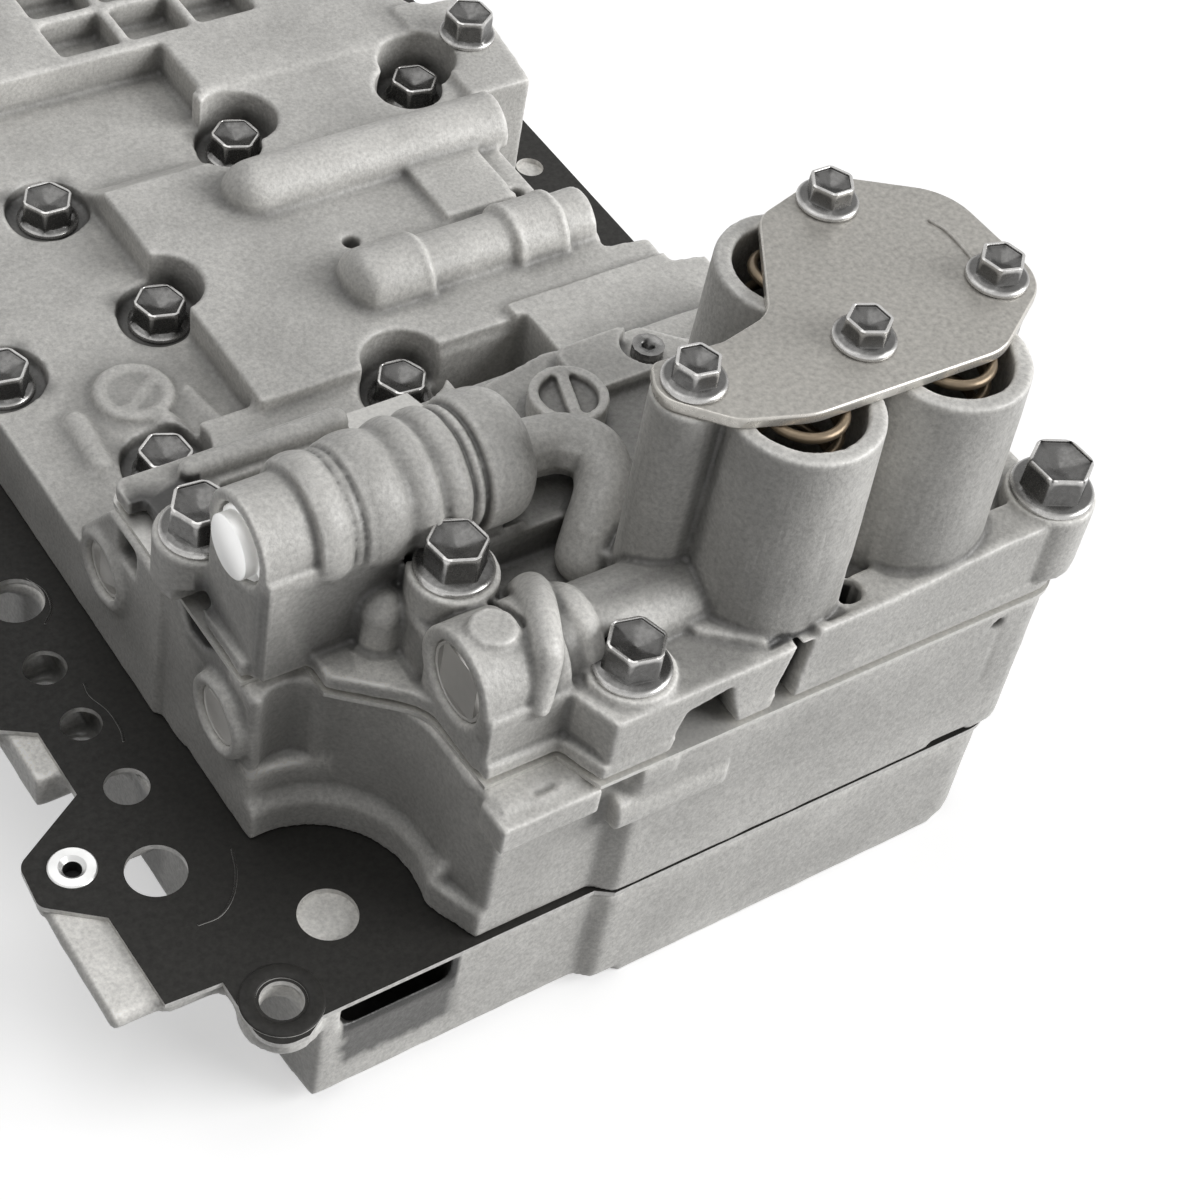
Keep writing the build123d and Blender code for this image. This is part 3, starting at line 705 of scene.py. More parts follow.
def cast_metal(settings):
    """Cast aluminium: sandy skin over broad stains, painted highlights on edges, painted shade in corners.
    """
    made = bpy.data.materials.get("Cast aluminium")
    if made:
        return made
    base = settings.metal
    made, tree, shader = material("Cast aluminium", base, 0.45)
    skin = noise(tree, settings.grain, 4.0, 0.65)
    stain = noise(tree, 0.022, 3.0, 0.5)
    level = product(
        tree,
        spread(tree, skin, 0.80, 1.20),
        spread(tree, stain, 0.88, 1.10),
        # Painted shade in the creases, painted highlights on the outward edges, painted shade in broad
        # hollows
        spread(tree, stored(tree, "edge"), 0.50, 1.0, -0.40, -0.02),
        spread(tree, stored(tree, "edge"), 1.0, 1.35, 0.05, 0.40),
        spread(tree, stored(tree, "hollow"), 0.55, 1.06, -0.5, 0.12),
        spread(tree, stored(tree, "machined"), 1.0, 1.38, 0.0, 1.0),
        # Painted shade or painted light from the boxes
        spread(tree, stored(tree, "shaded"), 2.0, 0.02, -1.0, 1.0),
    )
    tree.links.new(scaled(tree, base, level), shader.inputs["Base Color"])
    rubbed = spread(tree, stored(tree, "edge"), 1.0, 0.70, 0.05, 0.4)
    tree.links.new(product(tree, spread(tree, skin, 0.50, 0.36), rubbed), shader.inputs["Roughness"])
    bump(tree, shader, skin, settings.relief)
    return made


def plated_steel(name, base, roughness, metallic, grain, depth, contrast=0.12, edge=0.0, specular=0.5):
    """Plated or coated steel: an even colour with small spots and a faint relief; painted edge highlights
    and crease shade.
    """
    made, tree, shader = material(name, base, roughness, metallic, specular)
    spots = noise(tree, grain, 3.0, 0.6)
    level = spread(tree, spots, 1 - contrast, 1 + contrast)
    if edge:
        # Painted highlights on the outward edges, and painted shade in the creases
        bright = spread(tree, stored(tree, "edge"), 1.0, 1 + edge, 0.10, 0.5)
        level = product(tree, level, bright, spread(tree, stored(tree, "edge"), 0.06, 1.0, -0.75, -0.28))
    tree.links.new(scaled(tree, base, level), shader.inputs["Base Color"])
    tree.links.new(spread(tree, spots, roughness + 0.07, roughness - 0.07), shader.inputs["Roughness"])
    bump(tree, shader, spots, depth)
    return made


def turned_metal(name, base, roughness, axis):
    """Turned metal: fine rings across its axis."""
    made, tree, shader = material(name, base, roughness, 0.75)
    squash = [1.0 if direction == axis else 0.06 for direction in "xyz"]
    rings = noise(tree, 0.0005, 2.0, 0.5, squash)
    tree.links.new(scaled(tree, base, spread(tree, rings, 0.9, 1.1)), shader.inputs["Base Color"])
    tree.links.new(spread(tree, rings, roughness + 0.08, roughness - 0.05), shader.inputs["Roughness"])
    bump(tree, shader, rings, 0.00004)
    return made


# Castings


def upper_details():
    """Solids joined to the upper body, and solids cut from it."""
    added, removed = [], []
    for x, y in TOWERS:
        added.append(turned([(0, 49.7), (19.32, 49.7), (17.55, RIM), (0, RIM)], at(x, y, 0)))
        removed.append(drum(x, y, 13.46, 59.7, RIM + 5))
    for x, y in COLUMNS:
        added.append(drum(x, y, 8.62, DECK - 8, RIM))
        removed.append(drum(x, y, 3.3, 92, RIM + 5))
    # The web between the first tower and its column
    added.append(prism([(56, 25), (49.5, 37.5), (60, 37), (66, 30), (62, 20)], DECK - 5, RIM - 0.3))
    # Rings, grooves with thin ridges, the round end and the mouth of the left housing
    for x, half, radius in (
        (-14.5, 3.4, 15.0), (-9.0, 1.3, 14.2), (-1.6, 4.4, 15.5), (8.3, 2.9, 15.6), (15.6, 2.6, 15.6),
        (20.8, 1.2, 14.6),
    ):
        sweep = np.radians(np.linspace(-90, 90, 9))
        bead = [(radius - 1.3 * (1 - math.cos(a)), x + half * math.sin(a)) for a in sweep]
        added.append(about_x(loop((8, x - half), *bead, (8, x + half)), *BORE_A))
    for x in (4.0, 11.8):
        removed.append(band(x, [(14.4, 1.2), (16.5, 1.6)], *BORE_A))
        added.append(band(x, [(8, 0.6), (15.1, 0.45)], *BORE_A))
    sweep = np.radians(np.linspace(0, 90, 8))
    end = [(8.6 + 7 * math.cos(a), 30 + 7 * math.sin(a)) for a in sweep]
    removed += [
        about_x(loop((8.6, 38.5), (17, 38.5), (17, 30), *end), *BORE_A),
        about_x([(0, -32.5), (10.2, -32.5), (9.4, -30.8), (9.4, -25), (0, -25)], *BORE_A),
    ]
    pipe = [
        (33, 67, 73), (43, 68, 73.4), (52, 66, 73.8), (57.2, 60, 74), (55.6, 52, 71.5), (50, 46.4, 67),
        (46, 43, 62),
    ]
    ridge = [
        (26, 38, 63), (23, 32, 72.4), (19.0, 23.5, 77.0), (15.6, 15.5, 76.2), (14.4, 12.6, 73.5),
        (11.5, 9, 65),
    ]
    shelf = [
        (46, 38), (48.7, 28.3), (54.6, 24.4), (50.5, 14), (52.1, 9.7), (64, 0), (80, 2), (84, 30), (60, 42),
    ]
    ear_x, ear_y, seat = EAR
    ring = loop((8, 25), (11.7, 25), (12.4, 26.2), (12.4, 28.6), (11.7, 30), (8, 30))
    added += [
        # The left housing's flat side wall, and the curved pipe beside it
        box(-30.4, 21, 51.2, 60, UPPER_BASE + 1.6, 80),
        tube(pipe, 6.9),
        # The arched ridge, the ring and the shelf over the front housing
        tube(ridge, (4.3, 4.2, 4.0, 3.7, 3.3, 2.4)),
        about_x(ring, *BORE_B),
        prism(shelf, DECK - 4, DECK + 2.0),
        # The rim of the deck, and the web and the boss of the ear
        prism([(76, -3.7), (134, -3.7), (134, -1.6), (76, -1.6)], DECK - 3, 69.2),
        prism([(126, 66), (146, 66), (143, 73), (131, 68)], -1, 1.5, "y"),
        turned([(0, 55), (10.9, 55), (10.9, seat - 0.8), (10.3, seat), (0, seat)], at(ear_x, ear_y, 0)),
        # The bar along the rear edge
        tube([(-16.5, 109.8, 54.2), (21.5, 109.8, 54.2)], 3.0, steps=2),
    ]
    # The slotted boss behind the pipe
    for turn in (-18, 162):
        removed.append(prism(arc((63.1, 78.6), 7, turn - 78, turn + 78), 71.2, 80))
    removed += [
        about_x([(0, -3), (10.4, -3), (9.6, -1.2), (9.6, 0), (0, 0)], *BORE_B),
        # The hole in the deck, and the recesses in the front wall
        drum(89, 4, 3.6, 50, 80),
        prism([(42.4, 59.8), (53.9, 61.9), (58.1, 46), (39, 46)], -7, 13, "y"),
        prism([(70.4, 66.6), (75.1, 67), (72.7, 46), (66.2, 46)], -7, 3, "y"),
        # The gap over the upper plate, a hole and a notch at the left, and a cut at the rear
        box(-40, 170, -10, 130, UPPER_BASE - 1, UPPER_BASE + 0.8),
        box(-60, -26.5, 60, 108, UPPER_BASE - 1, UPPER_BASE + 1.5),
        about_x([(0, -60), (3.9, -60), (3.9, -22), (0, -22)], 76.4, UPPER_BASE + 3.0),
        prism([(107.6, 46), (107.6, 52.5), (104.5, 54), (94.5, 53.5), (93, 46)], -60, -29, "x"),
        box(24, 60, 103.5, 120, UPPER_BASE - 1, 70),
    ]
    for x, y, seat in LONG_BOLTS:
        low = UPPER_BASE + 1
        boss = loop((8.1, low), (10.25, low), (10.25, seat - 0.3), (9.9, seat), (8.1, seat))
        added.append(turned(boss, at(x, y, 0)))
        removed.append(drum(x, y, 3.3, UPPER_BASE - 2, seat + 6))
    # The low bump in the saddle beside the tall boss
    added += [drum(-2.4, 49.6, 5.6, 46, 62), ball((-2.4, 49.6, 62), (5.6, 5.6, 5.6))]
    return added, removed


def middle_details():
    """Solids joined to the middle body, and solids cut from it."""
    added, removed = [], []
    for x, y in POCKETS:
        removed.append(drum(x, y, 11.05, POCKET_FLOOR, MIDDLE_TOP - 3))
        ring = arc((x, y), 9.6, 0, 345, 23)
        removed.append(prism(ring, POCKET_FLOOR, POCKET_FLOOR + 20, "z", ring + POCKET_LEAN * 20))
    # Round ends and bands of the two rear housings
    added.append(ball((57, 211.5, PLATEAU + 0.5), (9, 9, 9)))
    added.append(ball((65, 168, PLATEAU + 0.5), (6, 10, 10)))
    for x, radius in ((79.5, 10.4), (107.5, 10.4), (121, 10.5)):
        added.append(band(x, [(3, 1.3), (radius - 0.5, 1.3), (radius, 0.5)], 168, PLATEAU + 0.5))
    floor = REAR_FLOOR
    mark = loop((7.0, 18), (10.2, 18), (10.2, floor + 1.7), (9.7, floor + 2.3), (7.4, floor + 2.3),
                (7.0, floor + 1.9))
    added += [
        # The round mark with a bar on the low floor, and the low mounds beside it
        turned(mark, at(-1.4, 165.9, 0)),
        drum(-1.4, 165.9, 7.2, 18, floor + 1.0),
        prism(stadium((6.0, 168.6), (-5.6, 160.8), 1.0), 18, floor + 2.2),
        tube([(1.3, 154.2, 20.6), (3.1, 139, 20.6)], 4.0, steps=3),
        tube([(-18.4, 163.3, 20.6), (-19.2, 148.1, 20.6)], 3.8, steps=3),
        tube([(11.7, 162.7, 21.9), (14, 148.3, 21.9)], 1.2, steps=3),
    ]
    # Bands round the mouths of the left bores
    for y, z, x in ((114, 26, -36.5), (60.5, 31, -36)):
        mouth = loop((8.0, x - 0.3), (9.6, x - 0.3), (10.3, x + 0.5), (10.3, x + 3), (8.0, x + 3))
        added.append(about_x(mouth, y, z))
    foot = loop((24.9, 0), (28.6, 0), (28.6, 14.5), (27.5, 13), (25.4, 9.6), (24.9, 8.6))
    lug = (8.5, 1.2), (12.5, 1.5)
    added += [
        # The foot of the scallop at the front left, a slotted lug and a mark on the front wall
        turned(foot, at(-30, 22, 0), around=40, first=-21, last=96),
        prism([(-6.7, 13.2), (-2.0, 14.0), (1.5, 0.5), (-1.3, -0.2)], 0, 9),
        prism(stadium(*lug, 2.2), 44, MIDDLE_TOP - 0.4),
        prism([(33, 41.0), (42, 41.0), (42, 45.4), (33, 45.4)], -4.7, 2, "y"),
    ]
    recess = [(-31.4, 43), (-30.6, 50.0), (-27.0, 51.6), (-22.0, 51.4), (-18.8, 49.2), (-17.2, 44)]
    removed += [
        # The recess and the notch at the left, the lug's slot and small marks on the front wall
        prism(recess, 21, MIDDLE_TOP + 1),
        prism([(83, 49), (66, 49), (67.6, 45), (72, 41), (78, 40.5)], -60, -29.5, "x"),
        prism(stadium(*lug, 1.1), MIDDLE_TOP - 1.2, MIDDLE_TOP + 1),
        prism([(130.5, 38.5), (136.5, 44), (137.5, 41.0)], -6, 0.5, "y"),
        box(127, 139, -6, -1, -1, 1.6),
        prism([(136.2, 20), (137.8, 20), (137.8, 40), (136.2, 40)], -6, -3.4, "y"),
    ]
    return added, removed


def lower_details():
    """Solids joined to the lower body, and solids cut from it."""
    removed = [drum(x, y, radius - 0.8, -26, 2) for x, y, radius in PLATE_HOLES[:DEEP_HOLES]]
    removed.append(box(-33.5, -6.5, 0.5, 13.5, -24, -2.2))
    collar = loop((5.0, -7), (9.6, -7), (9.6, -1.6), (5.0, -1.6))
    return [turned(collar, at(*EAR_HOLE, 0))], removed


class VALVEBODY_OT_upper_casting(bpy.types.Operator):
    """The upper casting with its towers, ringed housings, curved pipe and bosses"""

    bl_idname = "valve_body.upper_casting"
    bl_label = "Upper casting"

    def execute(self, context):
        step = context.scene.valve_castings.fine
        cast("upper_body", upper_details(), step, LARGE_SKIN, UPPER_SHADED)
        return {"FINISHED"}


class VALVEBODY_OT_middle_casting(bpy.types.Operator):
    """The middle casting with its pockets, housings and marks"""

    bl_idname = "valve_body.middle_casting"
    bl_label = "Middle casting"

    def execute(self, context):
        step = context.scene.valve_castings.medium
        cast("middle_body", middle_details(), step, LARGE_SKIN, MIDDLE_SHADED)
        return {"FINISHED"}


class VALVEBODY_OT_lower_casting(bpy.types.Operator):
    """The lower casting with its flange and ear"""

    bl_idname = "valve_body.lower_casting"
    bl_label = "Lower casting"

    def execute(self, context):
        step = context.scene.valve_castings.coarse
        cast("lower_body", lower_details(), step, SMALL_SKIN, LOWER_SHADED, LOWER_MACHINED)
        return {"FINISHED"}


# Plates and cover


def two_tone(mesh, limit):
    """Gives the faces of a sheet that lean out of its plane by more than a limit its second material."""
    leaning = np.abs(read(mesh.polygons, "normal")[:, 2]) < limit
    mesh.polygons.foreach_set("material_index", leaning.astype(np.int32))


def grown_outline(mesh, reach):
    """Moves the rim of a flat sheet outward in its plane, along the level part of the vertex normals."""
    place, level = read(mesh.vertices, "co"), read(mesh.vertex_normals, "vector")[:, :2]
    size = np.linalg.norm(level, axis=1, keepdims=True)
    place[:, :2] += np.where(size > 0.3, level / np.maximum(size, 1e-6) * reach, 0)
    moved(mesh, place)


class VALVEBODY_OT_plates(bpy.types.Operator):
    """The two separator plates and the lobed cover"""

    bl_idname = "valve_body.plates"
    bl_label = "Plates and cover"

    def execute(self, context):
        settings = context.scene.valve_sheets
        finish = {"grain": 0.0015, "depth": 0.00003}
        dark = plated_steel("Dark sheet", settings.dark, 0.5, 0.0, contrast=0.25, specular=0.2, **finish)
        cut = plated_steel("Dark sheet edge", (0.62, 0.61, 0.59), 0.4, 0.2, contrast=0.2, **finish)
        bright = plated_steel("Bright sheet", settings.bright, 0.35, 0.4, grain=0.001, depth=0.00002)
        zinc = settings.zinc
        # The cover's rounded rim takes a lighter copy of the zinc: a painted highlight
        rim = plated_steel("Zinc edge highlight", [1.5 * tone for tone in zinc], 0.3, 0.5, grain=0.0016, depth=0.00002)
        zinc = plated_steel("Speckled zinc", zinc, 0.38, 0.35, grain=0.0013, depth=0.00005, contrast=0.2)
        node = "lower_separator_plate"
        sheet = carved(merged_copy(node), [drum(x, y, radius, -4, 3) for x, y, radius in PLATE_HOLES])
        collar = loop((5.7, -0.4), (5.7, 0.25), (6.2, 0.5), (9.0, 0.5), (9.5, 0.25), (9.5, -0.4))
        ring = turned(collar, at(*EAR_HOLE, 0))
        lines = [tube([(*place, 0.05) for place in line], 0.28) for line in PLATE_LINES]
        mesh = joined([sheet, solid_of([ring]), solid_of(lines)])
        two_tone(mesh, limit=0.5)
        piece("lower_plate_sheet", mesh, [dark, cut], BODY, (node,))
        node = "upper_separator_plate"
        mesh = merged_copy(node)
        grown_outline(mesh, reach=0.0005)
        piece("upper_plate_sheet", mesh, [bright], BODY, (node,))
        node = "accumulator_cover"
        low, high = ((corner[2] - ZERO[2]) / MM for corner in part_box(node))
        edge = settings.cover_edge / MM
        sheet = solid_of([sheet_grid(rounded_outline(COVER_CORNERS), (90, 30), low, high, edge)])
        # The faces of the rounded rim take the painted highlight
        two_tone(sheet, limit=0.98)
        line = [(134.1, 51.4, high), (135.5, 47.1, high), (135.2, 39.3, high), (134.3, 35.3, high)]
        mesh = joined([sheet, solid_of([tube(line, 0.6)])])
        piece("cover_sheet", mesh, [zinc, rim], BODY, (node,), sharp=35)
        return {"FINISHED"}


# Bolts

# Width across flats and height of the hexagon, by the flange's radius
HEADS = {7.2: (9.4, 4.8), 8.0: (12.0, 6.4), 9.0: (12.4, 7.5), 10.0: (14.0, 8.0)}
FLANGE_HEIGHT = 1.6
# The least width across flats with a dish of full depth
FULL_DISH = 11
# How far each bolt is turned, in radians, in the order of the boxes
BOLT_TURNS = [0.35, 0.1, 0.5, 0.25, 0.42, 0.15, 0.3, 0.05] * 2


def hexagon_radius(angle):
    """The distance to the side of a hexagon of unit apothem at an angle, with its corners slightly cut."""
    turn = np.mod(angle + math.pi / 6, math.pi / 3) - math.pi / 6
    return np.minimum(1 / np.cos(turn), 1.14)


def bolt_grid(settings, x, y, low, top, flange, turn):
    """A flange bolt as one surface of angle and profile step.

    Each step has a level, a round limit and a hexagon limit, and the radius is the smaller one. From the
    top: the bottom of the dish, its six-sided wall, the ledge under the rim, the rim, the chamfer that the
    round limit cuts on the corners, the hexagon, the sloped flange, the shank and its tip.
    """
    flats, height = HEADS[flange]
    apothem = flats / 2
    seat = top - height - FLANGE_HEIGHT
    far = 2 * flange
    dish = settings.dish / MM * min(1.0, flats / FULL_DISH)
    inner = apothem - settings.rim / MM
    steps = [
        (top - dish, 0.0, far),
        (top - dish * 0.98, 0.5, far),
        (top - dish * 0.72, inner * 0.42, inner * 0.46),
        (top - dish * 0.45, inner * 0.74, inner * 0.80),
        (top - 0.66, far, inner - 0.30),
        (top - 0.55, far, inner - 0.12),
        (top - 0.10, far, inner - 0.05),
        (top, far, inner + 0.05),
        (top, apothem + 0.15, apothem - 0.2),
        (top - 0.2, apothem + 0.5, apothem - 0.02),
        (top - 0.8, apothem * 1.1, apothem),
        (top - 1.5, apothem * 1.155, apothem),
        (seat + 2.4, apothem * 1.155, apothem),
        (seat + 2.0, apothem * 1.17, apothem + 0.2),
        (seat + 1.65, flange - 0.9, far),
        (seat + 1.3, flange - 0.2, far),
        (seat + 1.0, flange, far),
        (seat + 0.35, flange, far),
        (seat + 0.02, flange - 0.3, far),
        (seat + 0.02, 3.1, far),
        (low + 1.0, 2.95, far),
        (low, 2.1, far),
        (low, 0.0, far),
    ]
    level, limit, across = np.array(steps).T[:, :, None]
    angle = np.linspace(0, 2 * math.pi, settings.around + 1)[None, :]
    radius = np.minimum(limit, hexagon_radius(angle) * across)
    angle = angle + turn
    grid = np.stack([x + radius * np.cos(angle), y + radius * np.sin(angle), level + 0 * angle], axis=-1)
    grid[:, -1] = grid[:, 0]
    return ZERO + grid * MM


def bolt_boxes(node):
    """The low and high corner of each bolt in a node, in datum millimetres and in a fixed order."""
    whole = bmesh.new()
    whole.from_mesh(merged := merged_copy(node))
    boxes = []
    left = set(whole.verts)
    while left:
        group, front = set(), {left.pop()}
        while front:
            group |= front
            front = {edge.other_vert(v) for v in front for edge in v.link_edges} - group
        left -= group
        places = (np.array([v.co[:] for v in group]) - ZERO) / MM
        boxes.append((places.min(axis=0), places.max(axis=0)))
    whole.free()
    bpy.data.meshes.remove(merged)
    return sorted(boxes, key=lambda pair: (round(pair[0][0]), round(pair[0][1])))


class VALVEBODY_OT_bolts(bpy.types.Operator):
    """The flange bolts with dished hexagon heads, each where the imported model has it"""

    bl_idname = "valve_body.bolts"
    bl_label = "Bolts"

    def execute(self, context):
        settings = context.scene.valve_bolts
        # The bolts' edge marks give painted highlights on the rims and painted shade in the creases
        finish = {"grain": 0.0012, "depth": 0.00001, "contrast": 0.15, "edge": 3.2}
        steel = plated_steel("Dark bolt steel", settings.steel, 0.27, 0.85, **finish)
        turns = iter(BOLT_TURNS)
        for node in ("cover_bolts", "upper_body_bolts", "middle_body_bolts"):
            grids = []
            for low, high in bolt_boxes(node):
                reach = (high[0] - low[0]) / 2
                flange = min(HEADS, key=lambda radius: abs(radius - reach))
                x, y = (low[:2] + high[:2]) / 2
                grids.append(bolt_grid(settings, x, y, low[2], high[2], flange, next(turns)))
            mesh = solid_of(grids)
            mark_edges(mesh)
            piece(node + "_dished", mesh, [steel], BODY, (node,), sharp=35)
        mesh = merged_copy("pocket_bolt")
        mark_edges(mesh)
        piece("pocket_bolt_screw", mesh, [steel], BODY, ("pocket_bolt",), sharp=35)
        return {"FINISHED"}


# Moving pieces

INWARD = (1, 0, 0)


def spring(node, name, grid, wire):
    """A coil of wire that stands for a node, with a mesh of its own.
    """
    coil = piece(name, solid_of([grid]), [wire], BODY, (node,), sharp=40)
    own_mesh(coil)


class VALVEBODY_OT_accumulators(bpy.types.Operator):
    """The three accumulator pistons and their springs"""

    bl_idname = "valve_body.accumulators"
    bl_label = "Accumulators"

    def execute(self, context):
        settings = context.scene.valve_springs
        alloy = turned_metal("Turned piston alloy", (0.5, 0.49, 0.47), 0.35, "z")
        wire = plated_steel("Spring wire", settings.wire, 0.35, 0.6, grain=0.002, depth=0.00002)
        wall, thick, coils = 2.4, 2.4, 7.0
        for number in range(1, len(TOWERS) + 1):
            node = "accumulator_piston_%d" % number
            base, radius, height = round_piece(node, 2, 0)
            inner = radius - wall
            profile = [
                (0, 0), (radius - 0.6, 0), (radius, 0.6), (radius, 4.0), (radius - 0.5, 4.2),
                (radius - 0.5, 5.8), (radius, 6.0), (radius, height - 0.5), (radius - 0.5, height),
                (inner + 0.4, height), (inner, height - 0.4), (inner, wall + 0.8), (inner - 0.8, wall),
                (0, wall),
            ]
            mesh = solid_of([turned(profile, base)])
            piece(node + "_cup", mesh, [alloy], node, (node,), sharp=30)
            node = "accumulator_spring_%d" % number
            low, high = (corner[2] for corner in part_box(node))
            tall = (high - low) / MM
            grid = helix(inner - thick, thick, tall, coils, settings.steps, (*base[:2], low))
            spring(node, node + "_coil", grid, wire)
        return {"FINISHED"}


class VALVEBODY_OT_spools(bpy.types.Operator):
    """The spool valves, their springs, plugs and keepers"""

    bl_idname = "valve_body.spools"
    bl_label = "Spool valves"

    def execute(self, context):
        settings = context.scene.valve_springs
        steel = turned_metal("Ground spool steel", (0.6, 0.6, 0.6), 0.25, "x")
        alloy = turned_metal("Turned plug alloy", (0.45, 0.44, 0.42), 0.42, "x")
        bright = material("Bright plug alloy", (0.95, 0.95, 0.94), 0.5, 0.9)[0]
        sheet = plated_steel("Keeper sheet", (0.4, 0.4, 0.4), 0.4, 0.6, grain=0.001, depth=0.00002)
        wire = bpy.data.materials["Spring wire"]
        land, thick, coils = 8.0, 1.4, 5.0
        for letter in LETTERS:
            node = "spool_" + letter
            base, radius, long = round_piece(node, 0, 2)
            waist = radius * 0.55
            profile = [
                (0, 0), (radius - 0.4, 0), (radius, 0.4), (radius, 3.6), (radius - 0.35, 3.7),
                (radius - 0.35, 4.2), (radius, 4.3), (radius, land - 0.3), (radius - 0.3, land),
                (waist, land), (waist, long - land), (radius - 0.3, long - land),
                (radius, long - land + 0.3), (radius, long - 0.4), (radius - 0.4, long), (0, long),
            ]
            mesh = solid_of([turned(profile, base, INWARD)])
            piece(node + "_valve", mesh, [steel], node, (node,), sharp=30)
            node = "bore_plug_" + letter
            base, across, _ = round_piece(node, 0, 1)
            mesh = joined([merged_copy(node), solid_of([plug_face(across, base, letter)])])
            finish = bright if letter == "a" else alloy
            piece(node + "_face", mesh, [finish], BODY, (node,), sharp=30)
            node = "plug_keeper_" + letter
            piece(node + "_sheet", merged_copy(node), [sheet], BODY, (node,), sharp=30)
            node = "spool_spring_" + letter
            base, _, tall = round_piece(node, 0, 2)
            grid = helix(radius - 2.0, thick, tall, coils, settings.steps, base, INWARD)
            spring(node, node + "_coil", grid, wire)
        return {"FINISHED"}


def plug_face(radius, base, letter):
    """The turned face of a bore's plug: deep and flat in the first bore, a dish with a rim in the rest."""
    if letter == "a":
        profile = [(0, -3.4), (radius - 1.7, -3.4), (radius - 1.3, -3.1), (radius - 1.3, 1.6), (0, 1.6)]
    else:
        hollow = 0.9
        profile = [
            (0, hollow), (radius * 0.60, hollow * 0.8), (radius - 1.5, hollow * 0.3), (radius - 0.9, -0.1),
            (radius - 0.35, -0.1), (radius - 0.05, 0.2), (radius - 0.05, 1.6), (0, 1.6),
        ]
    return turned(profile, base, INWARD)


class VALVEBODY_OT_fittings(bpy.types.Operator):
    """The locating bush and the dowel pins"""

    bl_idname = "valve_body.fittings"
    bl_label = "Fittings"

    def execute(self, context):
        bright = turned_metal("Bright bush steel", (0.8, 0.8, 0.79), 0.3, "z")
        node = "locating_bush"
        base, radius, height = round_piece(node, 2, 0)
        bore = 2.2
        profile = loop(
            (bore, 0), (radius, 0), (radius, height - 0.3), (radius - 0.3, height), (bore + 1.0, height),
            (bore, height - 1.0),
        )
        floor = [(0, 1.0), (bore + 0.2, 1.0), (bore + 0.2, 1.6), (0, 1.6)]
        mesh = solid_of([turned(profile, base), turned(floor, base)])
        # Painted shade down the bush's bore: its deep faces and floor take a black material
        across, along, level = ((read(mesh.polygons, "center") - base) / MM).T
        deep = (np.hypot(across, along) < bore + 0.1) & (level < height - 1.2)
        mesh.polygons.foreach_set("material_index", deep.astype(np.int32))
        bore_shade = plated_steel("Painted bore shade", (0.01, 0.01, 0.01), 0.6, 0.0, grain=0.001, depth=0.00002)
        piece(node + "_ring", mesh, [bright, bore_shade], BODY, (node,), sharp=30)
        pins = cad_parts["dowel_pins"].data.materials
        pins.clear()
        pins.append(bright)
        return {"FINISHED"}


# Stage


CAMERA_PLACE = (-230.57, -262.32, 494.37)
CAMERA_RIGHT = (0.8235, -0.5477, 0.1476)
CAMERA_BACK = (-0.4623, -0.4971, 0.7343)
# Half the floor's width, in metres
FLOOR_REACH = 6.0


def camera_matrix():
    """The camera's place and turn: its right and back axes are given, and its up axis is across both."""
    back = Vector(CAMERA_BACK).normalized()
    right = Vector(CAMERA_RIGHT)
    right = (right - right.dot(back) * back).normalized()
    up = back.cross(right)
    turn = Matrix((right, up, back)).transposed().to_4x4()
    return Matrix.Translation(at(*CAMERA_PLACE)) @ turn


def white_to_the_eye(tree, dull, white):
    """A mix that is white to camera, mirror and clear rays and dull to the rest."""
    path = tree.nodes.new("ShaderNodeLightPath").outputs
    seen = path["Is Camera Ray"]
    for other in ("Is Glossy Ray", "Is Transmission Ray"):
        seen = wired(tree, "Math", {0: seen, 1: path[other]}, operation="MAXIMUM")
    return wired(tree, "MixShader", {0: seen, 1: dull, 2: white})


def floor_material(settings):
    """A floor that looks white but returns little light, and still takes the object's shadow."""
    made = bpy.data.materials.new("Floor")
    made.use_nodes = True
    tree = made.node_tree
    tree.nodes.clear()
    dull = wired(tree, "BsdfDiffuse", {"Color": (*[settings.floor] * 3, 1)})
    paper = wired(tree, "BsdfDiffuse", {"Color": (0.75, 0.75, 0.75, 1)})
    both = wired(tree, "AddShader", {0: paper, 1: wired(tree, "Emission", {"Strength": 0.50})})
    out = tree.nodes.new("ShaderNodeOutputMaterial")
    tree.links.new(white_to_the_eye(tree, dull, both), out.inputs["Surface"])
    return made


def set_world(settings):
    """Even light from all round, seen as white."""
    world = bpy.data.worlds.new("Studio")
    world.use_nodes = True
    tree = world.node_tree
    tree.nodes.clear()
    dull, white = (
        wired(tree, "Background", {"Color": (1, 1, 1, 1), "Strength": strength})
        for strength in (settings.ambient, 1.0)
    )
    out = tree.nodes.new("ShaderNodeOutputWorld")
    tree.links.new(white_to_the_eye(tree, dull, white), out.inputs["Surface"])
    bpy.context.scene.world = world


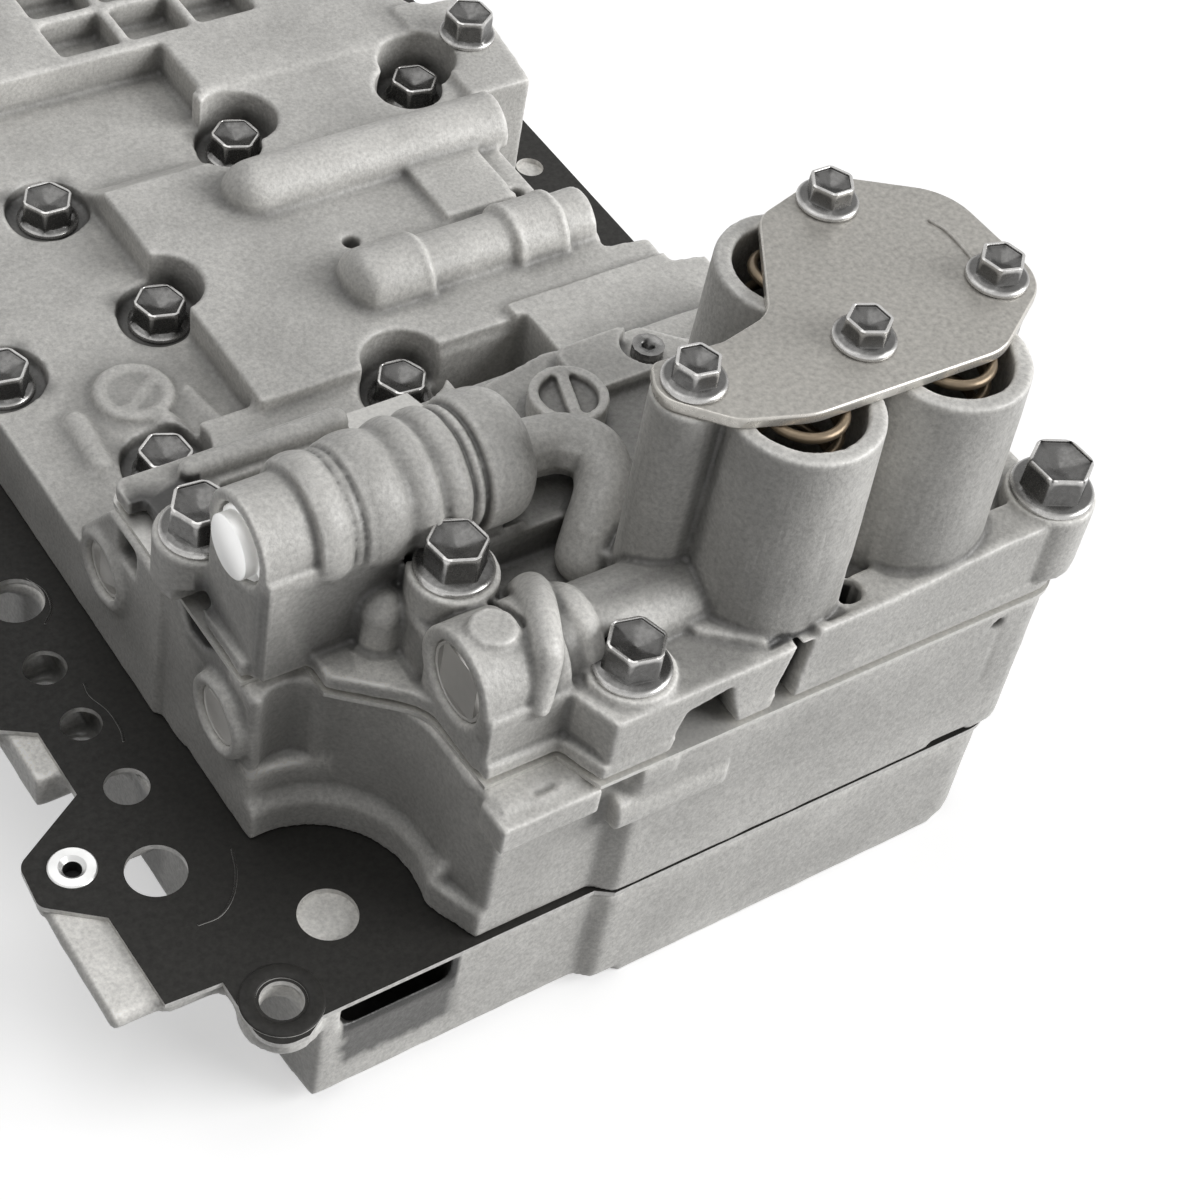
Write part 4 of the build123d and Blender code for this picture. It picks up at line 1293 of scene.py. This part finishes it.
class VALVEBODY_OT_stage(bpy.types.Operator):
    """The camera, the floor and the lights"""

    bl_idname = "valve_body.stage"
    bl_label = "Stage"

    def execute(self, context):
        settings = context.scene.valve_stage
        view = bpy.data.cameras.new("Camera")
        view.lens = settings.lens
        view.sensor_width = 36
        view.clip_start = 0.01
        view.clip_end = 20
        camera = bpy.data.objects.new("Camera", view)
        camera.matrix_world = camera_matrix()
        context.scene.collection.objects.link(camera)
        context.scene.camera = camera
        # The width of each light in degrees, and the direction that it comes from
        for name, energy, width, toward in (
            ("Key", settings.key, 42, (0.70, -0.58, 0.42)),
            ("Top", settings.top, 60, (-0.15, 0.25, 1.0)),
        ):
            sun = bpy.data.lights.new(name, "SUN")
            sun.energy = energy
            sun.angle = math.radians(width)
            lamp = bpy.data.objects.new(name, sun)
            lamp.rotation_euler = Vector(toward).to_track_quat("Z", "Y").to_euler()
            context.scene.collection.objects.link(lamp)
        reach = FLOOR_REACH
        corners = np.array([[(x, y, 0) for x in (-reach, reach)] for y in (-reach, reach)])
        floor = bpy.data.objects.new("Floor", grid_mesh(corners))
        floor.data.materials.append(floor_material(settings))
        context.scene.collection.objects.link(floor)
        set_world(settings)
        context.scene.view_settings.view_transform = "Standard"
        return {"FINISHED"}


# The add-on


class VALVEBODY_PT_panel(bpy.types.Panel):
    """The pieces of the valve body and their sizes"""

    bl_label = "Valve body"
    bl_idname = "VALVEBODY_PT_panel"
    bl_space_type = "VIEW_3D"
    bl_region_type = "UI"
    bl_category = "Valve body"

    def draw(self, context):
        for operator in OPERATORS:
            self.layout.operator(operator.bl_idname)
        for name, group in GROUPS.items():
            column = self.layout.box()
            settings = getattr(context.scene, name)
            for field in group.__annotations__:
                column.prop(settings, field)


GROUPS = {
    "valve_castings": CastingSettings,
    "valve_sheets": SheetSettings,
    "valve_bolts": BoltSettings,
    "valve_springs": SpringSettings,
    "valve_stage": StageSettings,
}
OPERATORS = [
    VALVEBODY_OT_upper_casting,
    VALVEBODY_OT_middle_casting,
    VALVEBODY_OT_lower_casting,
    VALVEBODY_OT_plates,
    VALVEBODY_OT_bolts,
    VALVEBODY_OT_accumulators,
    VALVEBODY_OT_spools,
    VALVEBODY_OT_fittings,
    VALVEBODY_OT_stage,
]


def register():
    for group in GROUPS.values():
        bpy.utils.register_class(group)
    for name, group in GROUPS.items():
        setattr(bpy.types.Scene, name, PointerProperty(type=group))
    for operator in OPERATORS:
        bpy.utils.register_class(operator)
    bpy.utils.register_class(VALVEBODY_PT_panel)


def unregister():
    bpy.utils.unregister_class(VALVEBODY_PT_panel)
    for operator in reversed(OPERATORS):
        bpy.utils.unregister_class(operator)
    for name in GROUPS:
        delattr(bpy.types.Scene, name)
    for group in reversed(list(GROUPS.values())):
        bpy.utils.unregister_class(group)


def main():
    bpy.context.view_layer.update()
    register()
    for operator in OPERATORS:
        group, name = operator.bl_idname.split(".")
        getattr(getattr(bpy.ops, group), name)()


if __name__ == "__main__":
    main()
